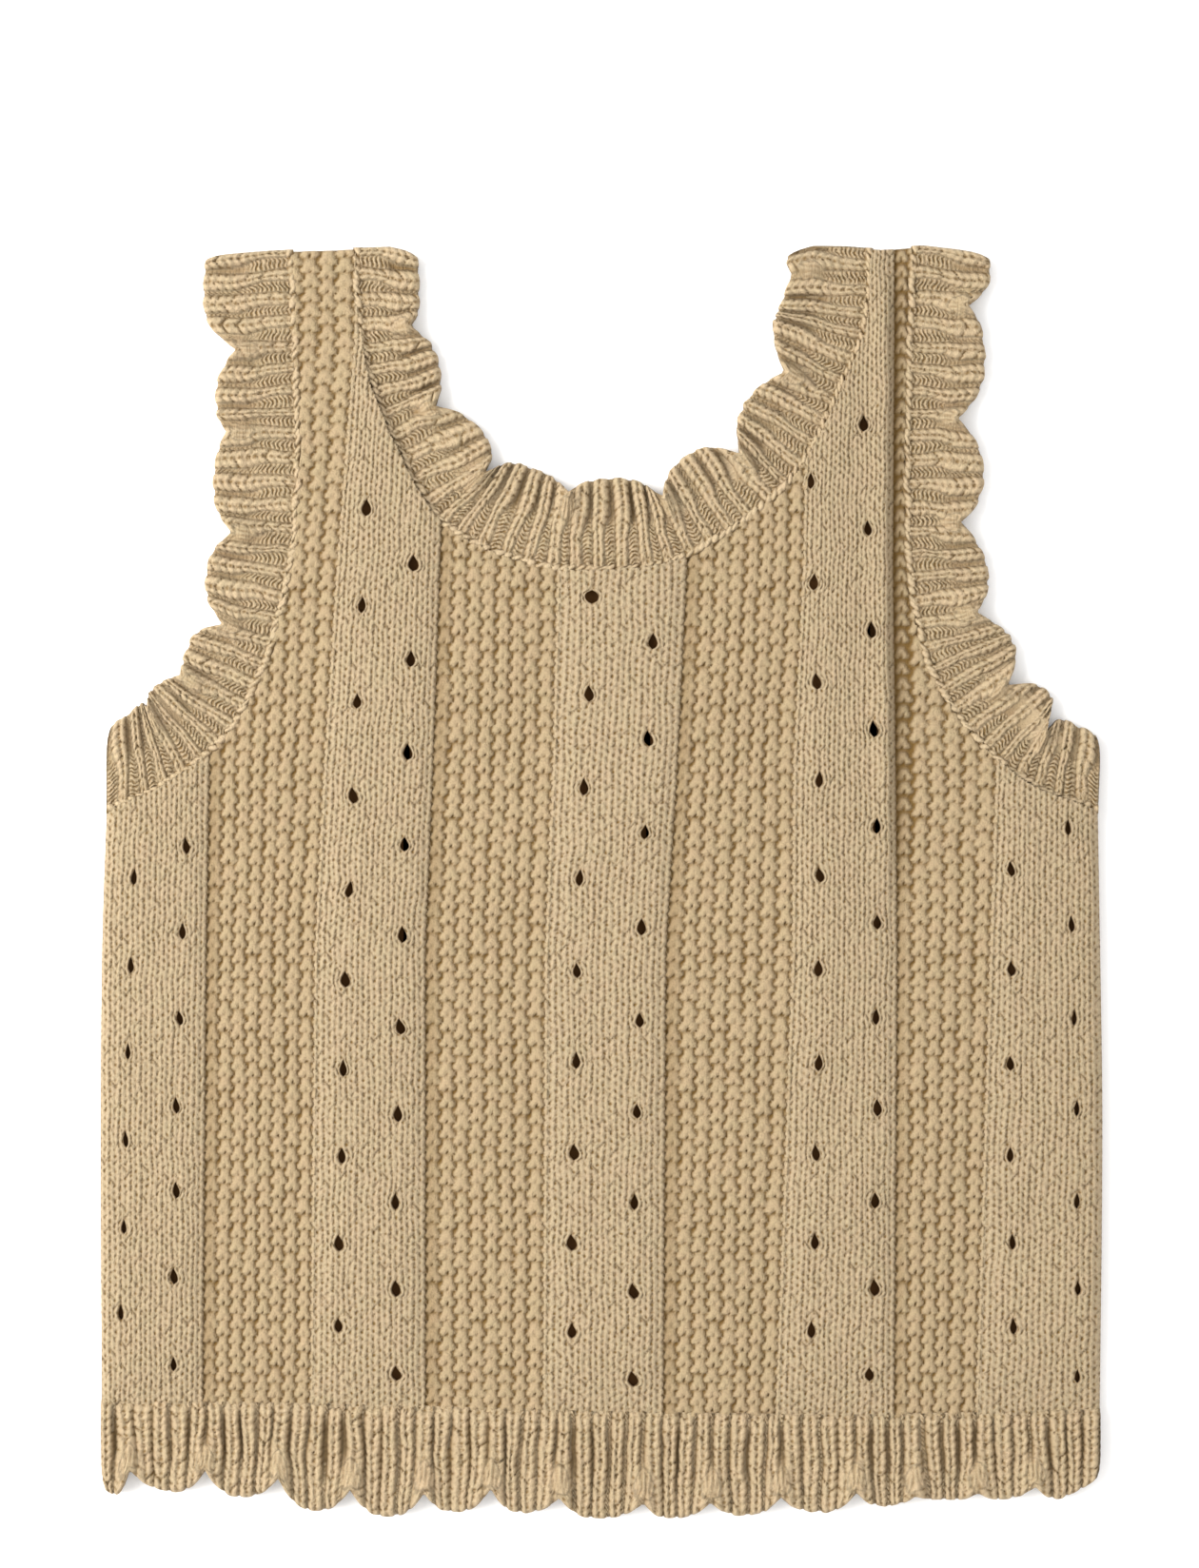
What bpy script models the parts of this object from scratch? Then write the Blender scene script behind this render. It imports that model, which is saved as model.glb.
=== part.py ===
"""A child's sleeveless knit top with ruffled ribbed edges, laid flat on its back.

X runs across the garment, Y up it and Z out of the surface that it lies on. The origin is in the middle of the
outline, on that surface. Sizes below are in millimetres, and meshes are made in metres.
"""

from collections import namedtuple

import bmesh
import bpy
import numpy as np
from mathutils.geometry import delaunay_2d_cdt

MM = 0.001

# Driving sizes of the whole garment
HALF_LENGTH = 192.0
SEAM_GAP = 0.3
BACK_WALL = 2.5
FRONT_WALL = 2.4
FRILL_WALL = 2.0
FRONT_INSIDE = BACK_WALL + SEAM_GAP

# Relief of the outer face
BAND_RISE = 1.1
RIB_RISE = 1.0
RIB_RISE_AT_ENDS = 0.35
EDGE_DROP = 1.2
FRILL_EDGE_DROP = 0.6
SEAM_DROP = 0.6
NOTCH_LIFT = 2.6
LOBE_LIFT = 0.5
NOTCH_FOLD_WIDTH = 4.0

# The long fold beside the fourth band, which runs down from the shoulder
FOLD_RISE = 1.8
FOLD_WIDTH = 4.5
FOLD_END = -10.0
FOLD_FADE = 40.0

# Spacing of the points that carry the shape
SEAM_STEP = 6.0
SIDE_STEP = 24.0
HEM_STEP = 10.0
STRAP_STEP = 6.0
RELIEF_STEP = 22.0
RIM_INSET = 3.0
CLEAR_OF_EDGE = 4.6
CLEAR_OF_EYELET = 3.6
RIB_PITCH = 5.5
CURVE_STEP = 0.5
END_TURN = 38.0
CORNER_SLIDE = 2.6
CORNER_WIDTH = 3.5
TURN_STEPS = 3
LOBE_ROUNDNESS = 2.4
SHARP_ANGLE = 0.7

# How a frill's wall is divided from its seam to its free edge
FRILL_ROWS = (0.0, 0.2, 0.84, 1.0)
BACK_FRILL_ROWS = (0.0, 0.86, 1.0)

Point = namedtuple("Point", "x y")
Turn = namedtuple("Turn", "along depth is_lobe")
Border = namedtuple("Border", "shoulder chest underarm waist hem")
Eyelets = namedtuple("Eyelets", "x_low x_high bow y_low y_high sag count")

# Where the frills are picked up along the panels, from the shoulder down and round
NECK_SEAM = (
    Point(-74.0, HALF_LENGTH),
    Point(-73.0, 171.0),
    Point(-69.5, 152.0),
    Point(-62.0, 133.0),
    Point(-46.5, 108.0),
    Point(-25.0, 97.5),
    Point(2.0, 94.7),
    Point(22.0, 97.5),
    Point(40.0, 107.5),
    Point(59.0, 124.5),
    Point(71.0, 147.0),
    Point(79.5, 169.0),
    Point(81.0, HALF_LENGTH),
)
LEFT_ARMHOLE_SEAM = (
    Point(-94.0, HALF_LENGTH),
    Point(-92.5, 160.0),
    Point(-91.6, 130.0),
    Point(-94.2, 95.0),
    Point(-102.0, 66.0),
    Point(-113.0, 45.5),
    Point(-130.0, 31.0),
    Point(-149.5, 22.0),
)
RIGHT_ARMHOLE_SEAM = (
    Point(94.5, HALF_LENGTH),
    Point(93.0, 156.0),
    Point(92.4, 118.0),
    Point(94.5, 84.0),
    Point(99.0, 66.0),
    Point(112.0, 45.5),
    Point(128.0, 31.0),
    Point(150.0, 22.0),
)
LEFT_SIDE = (Point(-149.5, 22.0), Point(-150.8, -15.0), Point(-151.3, -60.0), Point(-151.0, -158.5))
RIGHT_SIDE = (Point(150.0, 22.0), Point(150.6, -15.0), Point(151.3, -60.0), Point(150.6, -161.5))
HEM_SEAM = (Point(-151.0, -158.5), Point(-75.0, -160.0), Point(0.0, -162.0), Point(75.0, -163.0), Point(150.6, -161.5))

# The free edge of each frill: how far along its seam, and how deep, it turns in a lobe or a notch
NECK_EDGE = (
    Turn(0.0, 18.2, True),
    Turn(14.4, 18.4, True),
    Turn(25.3, 14.9, False),
    Turn(39.6, 20.7, True),
    Turn(55.1, 15.5, False),
    Turn(72.6, 25.0, True),
    Turn(84.5, 19.5, False),
    Turn(107.0, 27.4, True),
    Turn(125.7, 23.0, False),
    Turn(140.0, 27.0, True),
    Turn(164.2, 19.2, False),
    Turn(180.6, 25.6, True),
    Turn(195.8, 16.1, False),
    Turn(212.5, 24.0, True),
    Turn(230.0, 17.2, False),
    Turn(247.5, 26.4, True),
    Turn(268.7, 23.3, False),
    Turn(276.0, 24.8, True),
)
LEFT_ARMHOLE_EDGE = (
    Turn(0.0, 25.4, True),
    Turn(15.5, 27.0, True),
    Turn(30.4, 17.8, False),
    Turn(46.0, 24.5, True),
    Turn(55.4, 21.8, False),
    Turn(72.0, 25.2, True),
    Turn(87.9, 18.9, False),
    Turn(102.2, 24.4, True),
    Turn(118.9, 15.8, False),
    Turn(129.2, 23.0, True),
    Turn(141.7, 21.5, False),
    Turn(158.5, 25.2, True),
    Turn(169.4, 22.6, False),
    Turn(181.0, 26.0, True),
    Turn(193.0, 24.5, True),
)
RIGHT_ARMHOLE_EDGE = (
    Turn(0.0, 22.6, True),
    Turn(6.0, 23.0, True),
    Turn(17.2, 17.2, False),
    Turn(33.3, 22.7, True),
    Turn(51.1, 15.2, False),
    Turn(68.3, 23.0, True),
    Turn(82.7, 16.1, False),
    Turn(101.3, 23.3, True),
    Turn(112.8, 18.1, False),
    Turn(131.2, 25.6, True),
    Turn(144.7, 17.2, False),
    Turn(157.0, 24.8, True),
    Turn(171.0, 16.1, False),
    Turn(183.0, 22.6, True),
    Turn(194.0, 21.8, True),
)
HEM_EDGE = (
    Turn(0.0, 25.2, True),
    Turn(3.4, 26.2, True),
    Turn(8.6, 18.6, False),
    Turn(22.4, 25.0, True),
    Turn(31.9, 18.6, False),
    Turn(43.0, 26.2, True),
    Turn(54.0, 20.4, False),
    Turn(65.2, 29.9, True),
    Turn(75.8, 23.5, False),
    Turn(87.3, 31.3, True),
    Turn(98.2, 23.8, False),
    Turn(107.6, 29.3, True),
    Turn(118.3, 21.9, False),
    Turn(127.7, 28.8, True),
    Turn(138.9, 24.2, False),
    Turn(150.4, 30.0, True),
    Turn(164.2, 25.3, False),
    Turn(172.8, 29.5, True),
    Turn(184.3, 24.7, False),
    Turn(194.4, 28.3, True),
    Turn(205.3, 22.8, False),
    Turn(216.5, 27.2, True),
    Turn(227.9, 21.3, False),
    Turn(236.0, 25.4, True),
    Turn(245.2, 22.7, False),
    Turn(255.5, 23.8, True),
    Turn(264.1, 22.1, False),
    Turn(271.3, 23.9, True),
    Turn(281.6, 20.6, False),
    Turn(290.0, 24.3, True),
    Turn(301.6, 19.0, True),
)

# Where the stockinette bands end and the moss bands begin, across the garment at five heights
BORDER_HEIGHTS = Border(165.0, 95.0, 36.0, -21.0, -158.0)
BORDERS = (
    Border(-117.0, -118.0, -118.3, -119.3, -120.3),
    Border(-74.6, -80.0, -83.8, -86.7, -88.1),
    Border(-46.0, -48.8, -50.8, -53.1, -53.1),
    Border(-12.0, -13.5, -14.9, -17.2, -17.8),
    Border(28.0, 25.8, 23.0, 19.5, 18.7),
    Border(62.0, 60.8, 57.8, 57.4, 52.5),
    Border(88.4, 88.0, 88.8, 89.3, 88.4),
    Border(122.0, 121.0, 119.0, 117.1, 112.8),
)
LEFT_LIMIT = Border(-152.0, -152.0, -152.0, -152.0, -152.0)
RIGHT_LIMIT = Border(152.0, 152.0, 152.0, 152.0, 152.0)
BAND_LIMITS = (LEFT_LIMIT,) + BORDERS + (RIGHT_LIMIT,)
FOLD_BORDER = BORDERS[6]

# Relief lines across a stockinette band, as shares of its width with their share of the rise
BAND_LINES = ((0.0, 0.15), (0.14, 0.85), (0.5, 1.0), (0.86, 0.85), (1.0, 0.15))
MOSS_LINES = ((0.0, 0.15), (0.5, 0.25), (1.0, 0.15))

# The columns of eyelets, two to a stockinette band. In the middle of its height a column bows aside and sags
EYELETS = (
    Eyelets(-145.0, -141.0, 0.0, -129.8, 1.4, 0.0, 6),
    Eyelets(-128.9, -125.2, -1.0, -145.0, 11.2, 0.0, 7),
    Eyelets(-79.5, -70.6, -1.5, -133.5, 113.1, 5.4, 10),
    Eyelets(-62.0, -56.6, -1.3, -148.4, 96.2, 3.6, 10),
    Eyelets(-8.6, -2.3, -1.7, -135.2, 85.8, 1.8, 9),
    Eyelets(9.2, 15.5, -1.0, -149.9, 72.6, 2.8, 9),
    Eyelets(63.4, 63.2, 2.2, -134.9, 121.2, 5.2, 10),
    Eyelets(81.0, 79.0, 3.3, -148.4, 138.1, 7.0, 11),
    Eyelets(124.3, 123.7, -0.4, -133.8, 4.0, 3.7, 6),
    Eyelets(143.8, 140.4, 1.1, -149.0, 16.5, 2.0, 7),
)

# An eyelet is a small drop with its point up
EYELET_WIDTH = 2.8
EYELET_HEIGHT = 4.6
EYELET_SHAPE = (Point(0.0, 0.5), Point(-0.45, 0.08), Point(-0.4, -0.4), Point(0.4, -0.4), Point(0.45, 0.08))

# Colours of the cotton, as linear values
STOCKINETTE_COLOUR = (0.53, 0.41, 0.26, 1.0)
RIB_COLOUR = (0.50, 0.38, 0.24, 1.0)
BACK_COLOUR = (0.47, 0.36, 0.22, 1.0)
ROUGHNESS = 0.9


def smooth_curve(points):
    """A fine polyline on the smooth curve that passes through the given points."""
    points = np.array(points, float)
    chords = np.linalg.norm(np.diff(points, axis=0), axis=1)
    knots = np.concatenate([[0.0], np.cumsum(chords)])
    slopes = np.gradient(points, knots, axis=0)
    at = np.linspace(0.0, knots[-1], int(knots[-1] / CURVE_STEP) + 2)
    first = np.clip(np.searchsorted(knots, at, side="right") - 1, 0, len(points) - 2)
    span = (knots[first + 1] - knots[first])[:, None]
    u = (at - knots[first])[:, None] / span
    start, end = points[first], points[first + 1]
    leaving, arriving = slopes[first] * span, slopes[first + 1] * span
    rise = u * u * (3 - 2 * u)
    return start + (end - start) * rise + leaving * u * (1 - u) ** 2 - arriving * u * u * (1 - u)


class Seam:
    """A seam line, and the way that its frill points at each end."""

    def __init__(self, points, side, start_way=None, end_way=None):
        self.line = smooth_curve(points)
        steps = np.linalg.norm(np.diff(self.line, axis=0), axis=1)
        self.marks = np.concatenate([[0.0], np.cumsum(steps)])
        self.length = self.marks[-1]
        along = np.gradient(self.line, self.marks, axis=0)
        along /= np.linalg.norm(along, axis=1)[:, None]
        self.ways = side * np.stack([-along[:, 1], along[:, 0]], axis=1)
        self.turn_to(start_way, self.marks)
        self.turn_to(end_way, self.length - self.marks)

    def turn_to(self, way, distance):
        """Turns the frill's direction smoothly towards the given way near one end."""
        if way is None:
            return
        u = np.clip(1 - distance / END_TURN, 0, 1)[:, None]
        weight = u * u * (3 - 2 * u)
        self.ways = self.ways * (1 - weight) + np.array(way) * weight
        self.ways /= np.linalg.norm(self.ways, axis=1)[:, None]

    def read(self, table, along):
        return np.stack([np.interp(along, self.marks, table[:, axis]) for axis in (0, 1)], axis=-1)

    def point(self, along):
        return self.read(self.line, along)

    def way(self, along):
        return self.read(self.ways, along)

    def spaced(self, step):
        """Points at an even spacing close to the step, both ends included."""
        count = max(1, round(self.length / step))
        return self.point(np.linspace(0.0, self.length, count + 1))


def edge_depth(along, turns):
    """Depth of a frill's free edge: round lobes that meet in sharp notches."""
    depth = np.zeros_like(along)
    for first, second in zip(turns, turns[1:]):
        here = (along >= first.along) & (along <= second.along)
        u = (along[here] - first.along) / (second.along - first.along)
        if first.is_lobe and second.is_lobe:
            share = u
        elif first.is_lobe:
            share = u**LOBE_ROUNDNESS
        else:
            share = 1 - (1 - u) ** LOBE_ROUNDNESS
        depth[here] = first.depth + (second.depth - first.depth) * share
    return depth


def cloth_lift(along, turns):
    """How far the free edge stands off the layer below: most where it is folded at a notch."""
    lift = np.full_like(along, LOBE_LIFT)
    for turn in turns:
        if not turn.is_lobe:
            lift += NOTCH_LIFT * np.exp(-(((along - turn.along) / NOTCH_FOLD_WIDTH) ** 2))
    return lift


def corner_slide(along, length, share):
    """Draws a frill's two outer corners in along its seam, so that they are round."""
    near_start, near_end = np.exp(-along / CORNER_WIDTH), np.exp(-(length - along) / CORNER_WIDTH)
    return CORNER_SLIDE * share**8 * (near_start - near_end)


def border_at(border, heights):
    """Where a border runs across the garment at the given heights."""
    return np.interp(heights, BORDER_HEIGHTS[::-1], border[::-1])


def inside_outline(points, outline):
    """Which points lie within the closed outline."""
    x, y = points[:, 0, None], points[:, 1, None]
    x0, y0 = outline[:, 0], outline[:, 1]
    x1, y1 = np.roll(x0, -1), np.roll(y0, -1)
    crosses = (y0 > y) != (y1 > y)
    reach = np.where(y1 == y0, 0.0, (x1 - x0) * (y - y0) / np.where(y1 == y0, 1.0, y1 - y0) + x0)
    return (crosses & (x < reach)).sum(axis=1) % 2 == 1


def distance_to_outline(points, outline):
    """Least distance from each point to the closed outline."""
    start, run = outline, np.roll(outline, -1, axis=0) - outline
    offset = points[:, None, :] - start[None]
    share = np.clip((offset * run).sum(axis=2) / (run**2).sum(axis=1), 0, 1)
    nearest = start + share[:, :, None] * run
    return np.linalg.norm(points[:, None, :] - nearest, axis=2).min(axis=1)


def eyelet_centres(mirrored):
    """Centres of all eyelets. The back's are mirrored, which puts them between the front's."""
    centres = []
    for row in EYELETS:
        share = np.linspace(0.0, 1.0, row.count)
        middle = 4 * share * (1 - share)
        x = row.x_low + (row.x_high - row.x_low) * share + row.bow * middle
        y = row.y_low + (row.y_high - row.y_low) * share - row.sag * middle
        centres.append(np.stack([-x if mirrored else x, y], axis=1))
    return np.concatenate(centres)


def eyelet_outlines(centres):
    shape = np.array(EYELET_SHAPE) * (EYELET_WIDTH, EYELET_HEIGHT)
    return [centre + shape for centre in centres]


def panel_outline(seams):
    """The panel's closed outline, anticlockwise from the left underarm."""
    left, neck, right = seams["left"], seams["neck"], seams["right"]
    hem = Seam(HEM_SEAM, 1).spaced(HEM_STEP)
    left_side = Seam(LEFT_SIDE, 1).spaced(SIDE_STEP)
    right_side = Seam(RIGHT_SIDE, 1).spaced(SIDE_STEP)
    right_strap = Seam((RIGHT_ARMHOLE_SEAM[0], NECK_SEAM[-1]), 1).spaced(STRAP_STEP)
    left_strap = Seam((NECK_SEAM[0], LEFT_ARMHOLE_SEAM[0]), 1).spaced(STRAP_STEP)
    stretches = (
        left_side,
        hem,
        right_side[::-1],
        right.spaced(SEAM_STEP)[::-1],
        right_strap,
        neck.spaced(SEAM_STEP)[::-1],
        left_strap,
        left.spaced(SEAM_STEP),
    )
    return np.concatenate([stretch[:-1] for stretch in stretches])


def relief_lines(outline, centres):
    """Points on the lines that carry the bands' relief, with the edges that join them along each line."""
    heights = np.arange(BORDER_HEIGHTS.hem + RELIEF_STEP / 2, HALF_LENGTH, RELIEF_STEP)
    points, edges = [], []
    for number, (left, right) in enumerate(zip(BAND_LIMITS, BAND_LIMITS[1:])):
        for share, _ in BAND_LINES if number % 2 == 0 else MOSS_LINES[1:-1]:
            x = border_at(left, heights) * (1 - share) + border_at(right, heights) * share
            line = np.stack([x, heights], axis=1)
            keep = inside_outline(line, outline) & (distance_to_outline(line, outline) > CLEAR_OF_EDGE)
            gaps = np.linalg.norm(line[:, None] - centres[None], axis=2).min(axis=1)
            keep &= gaps > CLEAR_OF_EYELET
            last = None
            for row in np.flatnonzero(keep):
                points.append(line[row])
                step = line[row - 1 : row + 1]
                if last == row - 1 and distance_to_outline(centres, step).min() > EYELET_HEIGHT / 2:
                    edges.append((len(points) - 2, len(points) - 1))
                last = row
    return np.array(points), edges


def rim_points(outline, centres):
    """A ring of points just inside the outline, where the wall reaches its full height."""
    run = np.roll(outline, -1, axis=0) - np.roll(outline, 1, axis=0)
    inward = np.stack([-run[:, 1], run[:, 0]], axis=1) / np.linalg.norm(run, axis=1)[:, None]
    ring = outline + RIM_INSET * inward
    keep = distance_to_outline(ring, outline) > 0.8 * RIM_INSET
    keep &= np.linalg.norm(ring[:, None] - centres[None], axis=2).min(axis=1) > CLEAR_OF_EYELET
    return ring[keep & inside_outline(ring, outline)]


def band_rise(points):
    """Height of the stockinette bands above the moss ones, with the long fold beside the fourth band."""
    rise = np.zeros(len(points))
    for number, (left, right) in enumerate(zip(BAND_LIMITS, BAND_LIMITS[1:])):
        lines = BAND_LINES if number % 2 == 0 else MOSS_LINES
        x0, x1 = border_at(left, points[:, 1]), border_at(right, points[:, 1])
        share = (points[:, 0] - x0) / (x1 - x0)
        here = (share >= 0) & (share < 1)
        shares, heights = zip(*lines)
        rise[here] = BAND_RISE * np.interp(share[here], shares, heights)
    across = (points[:, 0] - border_at(FOLD_BORDER, points[:, 1])) / FOLD_WIDTH
    fade = np.clip((points[:, 1] - FOLD_END) / FOLD_FADE, 0, 1)
    return rise + FOLD_RISE * fade * np.exp(-(across**2))


def triangulate(points, loops, lines):
    """Triangles of the region within the first loop and outside the others."""
    edges = [(loop[i - 1], loop[i]) for loop in loops for i in range(len(loop))] + lines
    found = delaunay_2d_cdt([tuple(p) for p in points], edges, [], 1, 1e-6, True)
    origin = [sources[0] for sources in found[3]]
    corners = np.array([[origin[index] for index in face] for face in found[2]])
    middles = points[corners].mean(axis=1)
    keep = inside_outline(middles, points[loops[0]])
    hole_of = np.full(len(points), -1)
    for number, loop in enumerate(loops[1:]):
        hole_of[loop] = number
    holes = hole_of[corners]
    keep &= (holes[:, 0] < 0) | (holes[:, 0] != holes[:, 1]) | (holes[:, 0] != holes[:, 2])
    return corners[keep].tolist()


def cotton(name, colour):
    """A matte cotton material."""
    material = bpy.data.materials.new(name)
    material.use_nodes = True
    shader = material.node_tree.nodes["Principled BSDF"]
    shader.inputs["Base Color"].default_value = colour
    shader.inputs["Roughness"].default_value = ROUGHNESS
    shader.inputs["Metallic"].default_value = 0.0
    return material


def wall_object(name, outer, outer_faces, inner, inner_faces, loops, colour):
    """One closed wall from its outer and inner points. A loop holds the point numbers of one edge of the wall."""
    mesh = bmesh.new()
    outer_verts = [mesh.verts.new(np.array(point) * MM) for point in outer]
    inner_verts = [mesh.verts.new(np.array(point) * MM) for point in inner]
    for face in outer_faces:
        mesh.faces.new([outer_verts[index] for index in face])
    for face in inner_faces:
        mesh.faces.new([inner_verts[index] for index in reversed(face)])
    for loop in loops:
        for last, this in zip(loop[-1:] + loop[:-1], loop):
            mesh.faces.new((outer_verts[this], outer_verts[last], inner_verts[last], inner_verts[this]))
    bmesh.ops.triangulate(mesh, faces=mesh.faces, quad_method="SHORT_EDGE")
    bmesh.ops.recalc_face_normals(mesh, faces=mesh.faces)
    data = bpy.data.meshes.new(name)
    mesh.to_mesh(data)
    mesh.free()
    data.shade_smooth()
    data.set_sharp_from_angle(angle=SHARP_ANGLE)
    data.materials.append(cotton(name + "_cotton", colour))
    thing = bpy.data.objects.new(name, data)
    bpy.context.scene.collection.objects.link(thing)
    return thing


def with_height(points, heights):
    return np.column_stack([points, np.broadcast_to(heights, len(points))])


def make_panel(name, seams, floor, wall, is_front, colour):
    """A panel with its eyelets cut through. The front's outer points carry the relief, and the back lies flat."""
    outline = panel_outline(seams)
    centres = eyelet_centres(mirrored=not is_front)
    holes = eyelet_outlines(centres)
    border = np.concatenate([outline] + holes)
    loops, start = [], 0
    for ring in [outline] + holes:
        loops.append(list(range(start, start + len(ring))))
        start += len(ring)
    inner_faces = triangulate(border, loops, [])
    inner = with_height(border, floor)
    if is_front:
        lines, joins = relief_lines(outline, centres)
        rim = rim_points(outline, centres)
        outer = np.concatenate([border, lines, rim])
        joins = [(a + len(border), b + len(border)) for a, b in joins]
        outer_faces = triangulate(outer, loops, joins)
        heights = floor + wall + band_rise(outer)
        heights[: len(outline)] = floor + wall - SEAM_DROP
        is_side = np.abs(outline[:, 0]) > np.abs(LEFT_SIDE[0].x) - 0.1
        heights[: len(outline)][is_side] = floor + wall - EDGE_DROP
        outer = with_height(outer, heights)
    else:
        outer, outer_faces = with_height(border, floor + wall), inner_faces
    return wall_object(name, outer, outer_faces, inner, inner_faces, loops, colour)


def frill_columns(seam, turns, is_front):
    """Where the frill's columns stand along its seam: rib ridges and furrows, or only what its outline needs."""
    if is_front:
        ribs = round(seam.length / RIB_PITCH)
        return np.linspace(0.0, seam.length, 2 * ribs + 1)
    marks = [np.linspace(a.along, b.along, TURN_STEPS, endpoint=False) for a, b in zip(turns, turns[1:])]
    return np.append(np.concatenate(marks) * seam.length / turns[-1].along, seam.length)


def make_frill(name, seam, turns, floor, is_front, colour):
    """A frill's wall from its seam to its lobed edge. A front frill has raised ribs, and lifts at its notches."""
    along = frill_columns(seam, turns, is_front)
    marks = along * turns[-1].along / seam.length
    rows = FRILL_ROWS if is_front else BACK_FRILL_ROWS
    depth = edge_depth(marks, turns)
    lift = cloth_lift(marks, turns) if is_front else np.zeros_like(along)
    ridge = np.arange(len(along)) % 2 if is_front else np.zeros(len(along))
    outer, inner = [], []
    for share in rows:
        reach = SEAM_GAP + (depth - SEAM_GAP) * share
        place = seam.point(along + corner_slide(along, seam.length, share)) + seam.way(along) * reach[:, None]
        below = floor + lift * share**2
        at_an_end = share in (0.0, 1.0)
        thickness = FRILL_WALL + RIB_RISE * ridge * (RIB_RISE_AT_ENDS if at_an_end else 1.0)
        if is_front and at_an_end:
            thickness = thickness - FRILL_EDGE_DROP
        outer.append(with_height(place, below + thickness))
        inner.append(with_height(place, below))
    count = len(along)
    faces = [
        (r * count + c, r * count + c + 1, (r + 1) * count + c + 1, (r + 1) * count + c)
        for r in range(len(rows) - 1)
        for c in range(count - 1)
    ]
    last = (len(rows) - 1) * count
    loop = list(range(count))
    loop += [r * count + count - 1 for r in range(1, len(rows))]
    loop += [last + c for c in range(count - 2, -1, -1)]
    loop += [r * count for r in range(len(rows) - 2, 0, -1)]
    return wall_object(name, np.concatenate(outer), faces, np.concatenate(inner), faces, [loop], colour)


def clear_scene():
    for thing in list(bpy.data.objects):
        bpy.data.objects.remove(thing, do_unlink=True)


def main():
    clear_scene()
    seams = {
        "neck": Seam(NECK_SEAM, 1, (1.0, 0.0), (-1.0, 0.0)),
        "left": Seam(LEFT_ARMHOLE_SEAM, -1, (-1.0, 0.0), (0.0, 1.0)),
        "right": Seam(RIGHT_ARMHOLE_SEAM, 1, (1.0, 0.0), (0.04, 1.0)),
        "hem": Seam(HEM_SEAM, -1, (0.0, -1.0), (0.0, -1.0)),
    }
    make_panel("front_panel", seams, FRONT_INSIDE, FRONT_WALL, True, STOCKINETTE_COLOUR)
    make_panel("back_panel", seams, 0.0, BACK_WALL, False, BACK_COLOUR)
    frills = (
        ("neck_frill", "neck", NECK_EDGE),
        ("armhole_frill_left", "left", LEFT_ARMHOLE_EDGE),
        ("armhole_frill_right", "right", RIGHT_ARMHOLE_EDGE),
        ("hem_rib", "hem", HEM_EDGE),
    )
    for name, seam, edge in frills:
        make_frill(name + "_front", seams[seam], edge, FRONT_INSIDE, True, RIB_COLOUR)
        make_frill(name + "_back", seams[seam], edge, 0.0, False, BACK_COLOUR)


main()
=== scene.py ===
"""Looks of a child's sleeveless knit top with ruffled ribbed edges, laid flat on its back.

The file is laid out as a Blender add-on and is run as a script. X runs across the garment, Y up it and Z out
of the surface that it lies on. Settings are in metres, and the shapes are worked out in millimetres.
"""

from collections import namedtuple

import bpy
import numpy as np
from mathutils.geometry import delaunay_2d_cdt
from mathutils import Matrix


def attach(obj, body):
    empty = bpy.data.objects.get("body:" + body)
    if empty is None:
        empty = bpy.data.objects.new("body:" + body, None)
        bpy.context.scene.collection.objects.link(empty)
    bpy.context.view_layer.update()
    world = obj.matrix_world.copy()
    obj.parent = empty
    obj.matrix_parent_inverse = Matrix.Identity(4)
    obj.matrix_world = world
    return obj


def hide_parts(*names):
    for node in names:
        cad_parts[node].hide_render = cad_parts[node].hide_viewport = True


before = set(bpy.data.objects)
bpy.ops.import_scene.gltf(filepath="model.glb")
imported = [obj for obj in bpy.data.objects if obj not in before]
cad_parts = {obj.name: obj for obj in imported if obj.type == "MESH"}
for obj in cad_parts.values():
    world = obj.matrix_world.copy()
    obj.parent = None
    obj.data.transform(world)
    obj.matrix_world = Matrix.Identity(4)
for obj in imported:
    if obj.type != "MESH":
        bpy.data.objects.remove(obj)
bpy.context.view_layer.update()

bl_info = {
    "name": "Knit top laid flat",
    "version": (1, 0, 0),
    "blender": (4, 5, 0),
    "location": "View3D > Sidebar > Knit top",
    "description": "Builds the stitches, frills, hem and studio of a knit top around its packed solids",
    "category": "Object",
}

MM = 0.001

# The garment's own sizes, in millimetres, as its solids have them
HALF_LENGTH = 192.0
SEAM_GAP = 0.3
BACK_WALL = 2.5
FRONT_INSIDE = BACK_WALL + SEAM_GAP
FRONT_TOP = 5.2
FOLD_END = -10.0
FOLD_FADE = 40.0
NOTCH_LIFT = 2.6
LOBE_LIFT = 0.5
NOTCH_FOLD_WIDTH = 4.0
END_TURN = 38.0
CORNER_WIDTH = 3.5
LOBE_ROUNDNESS = 2.4
CURVE_STEP = 0.5

# The long fold's slope to the left, its steeper slope to the right, and how far left of the border it rises
FOLD_WIDTH = 4.0
FOLD_STEEPNESS = 0.4
FOLD_INSET = 2.6

# How far a frill's outer corners are drawn in
CORNER_SLIDE = 1.6

Point = namedtuple("Point", "x y")
Turn = namedtuple("Turn", "along depth is_lobe")
Border = namedtuple("Border", "shoulder chest underarm waist hem")
Eyelets = namedtuple("Eyelets", "x_low x_high bow y_low y_high sag count")
Detail = namedtuple("Detail", "stockinette_columns moss_columns rows_per_stitch")
Frill = namedtuple("Frill", "name seam edge pitch knit_share spread furrow dark columns pulls")

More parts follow.
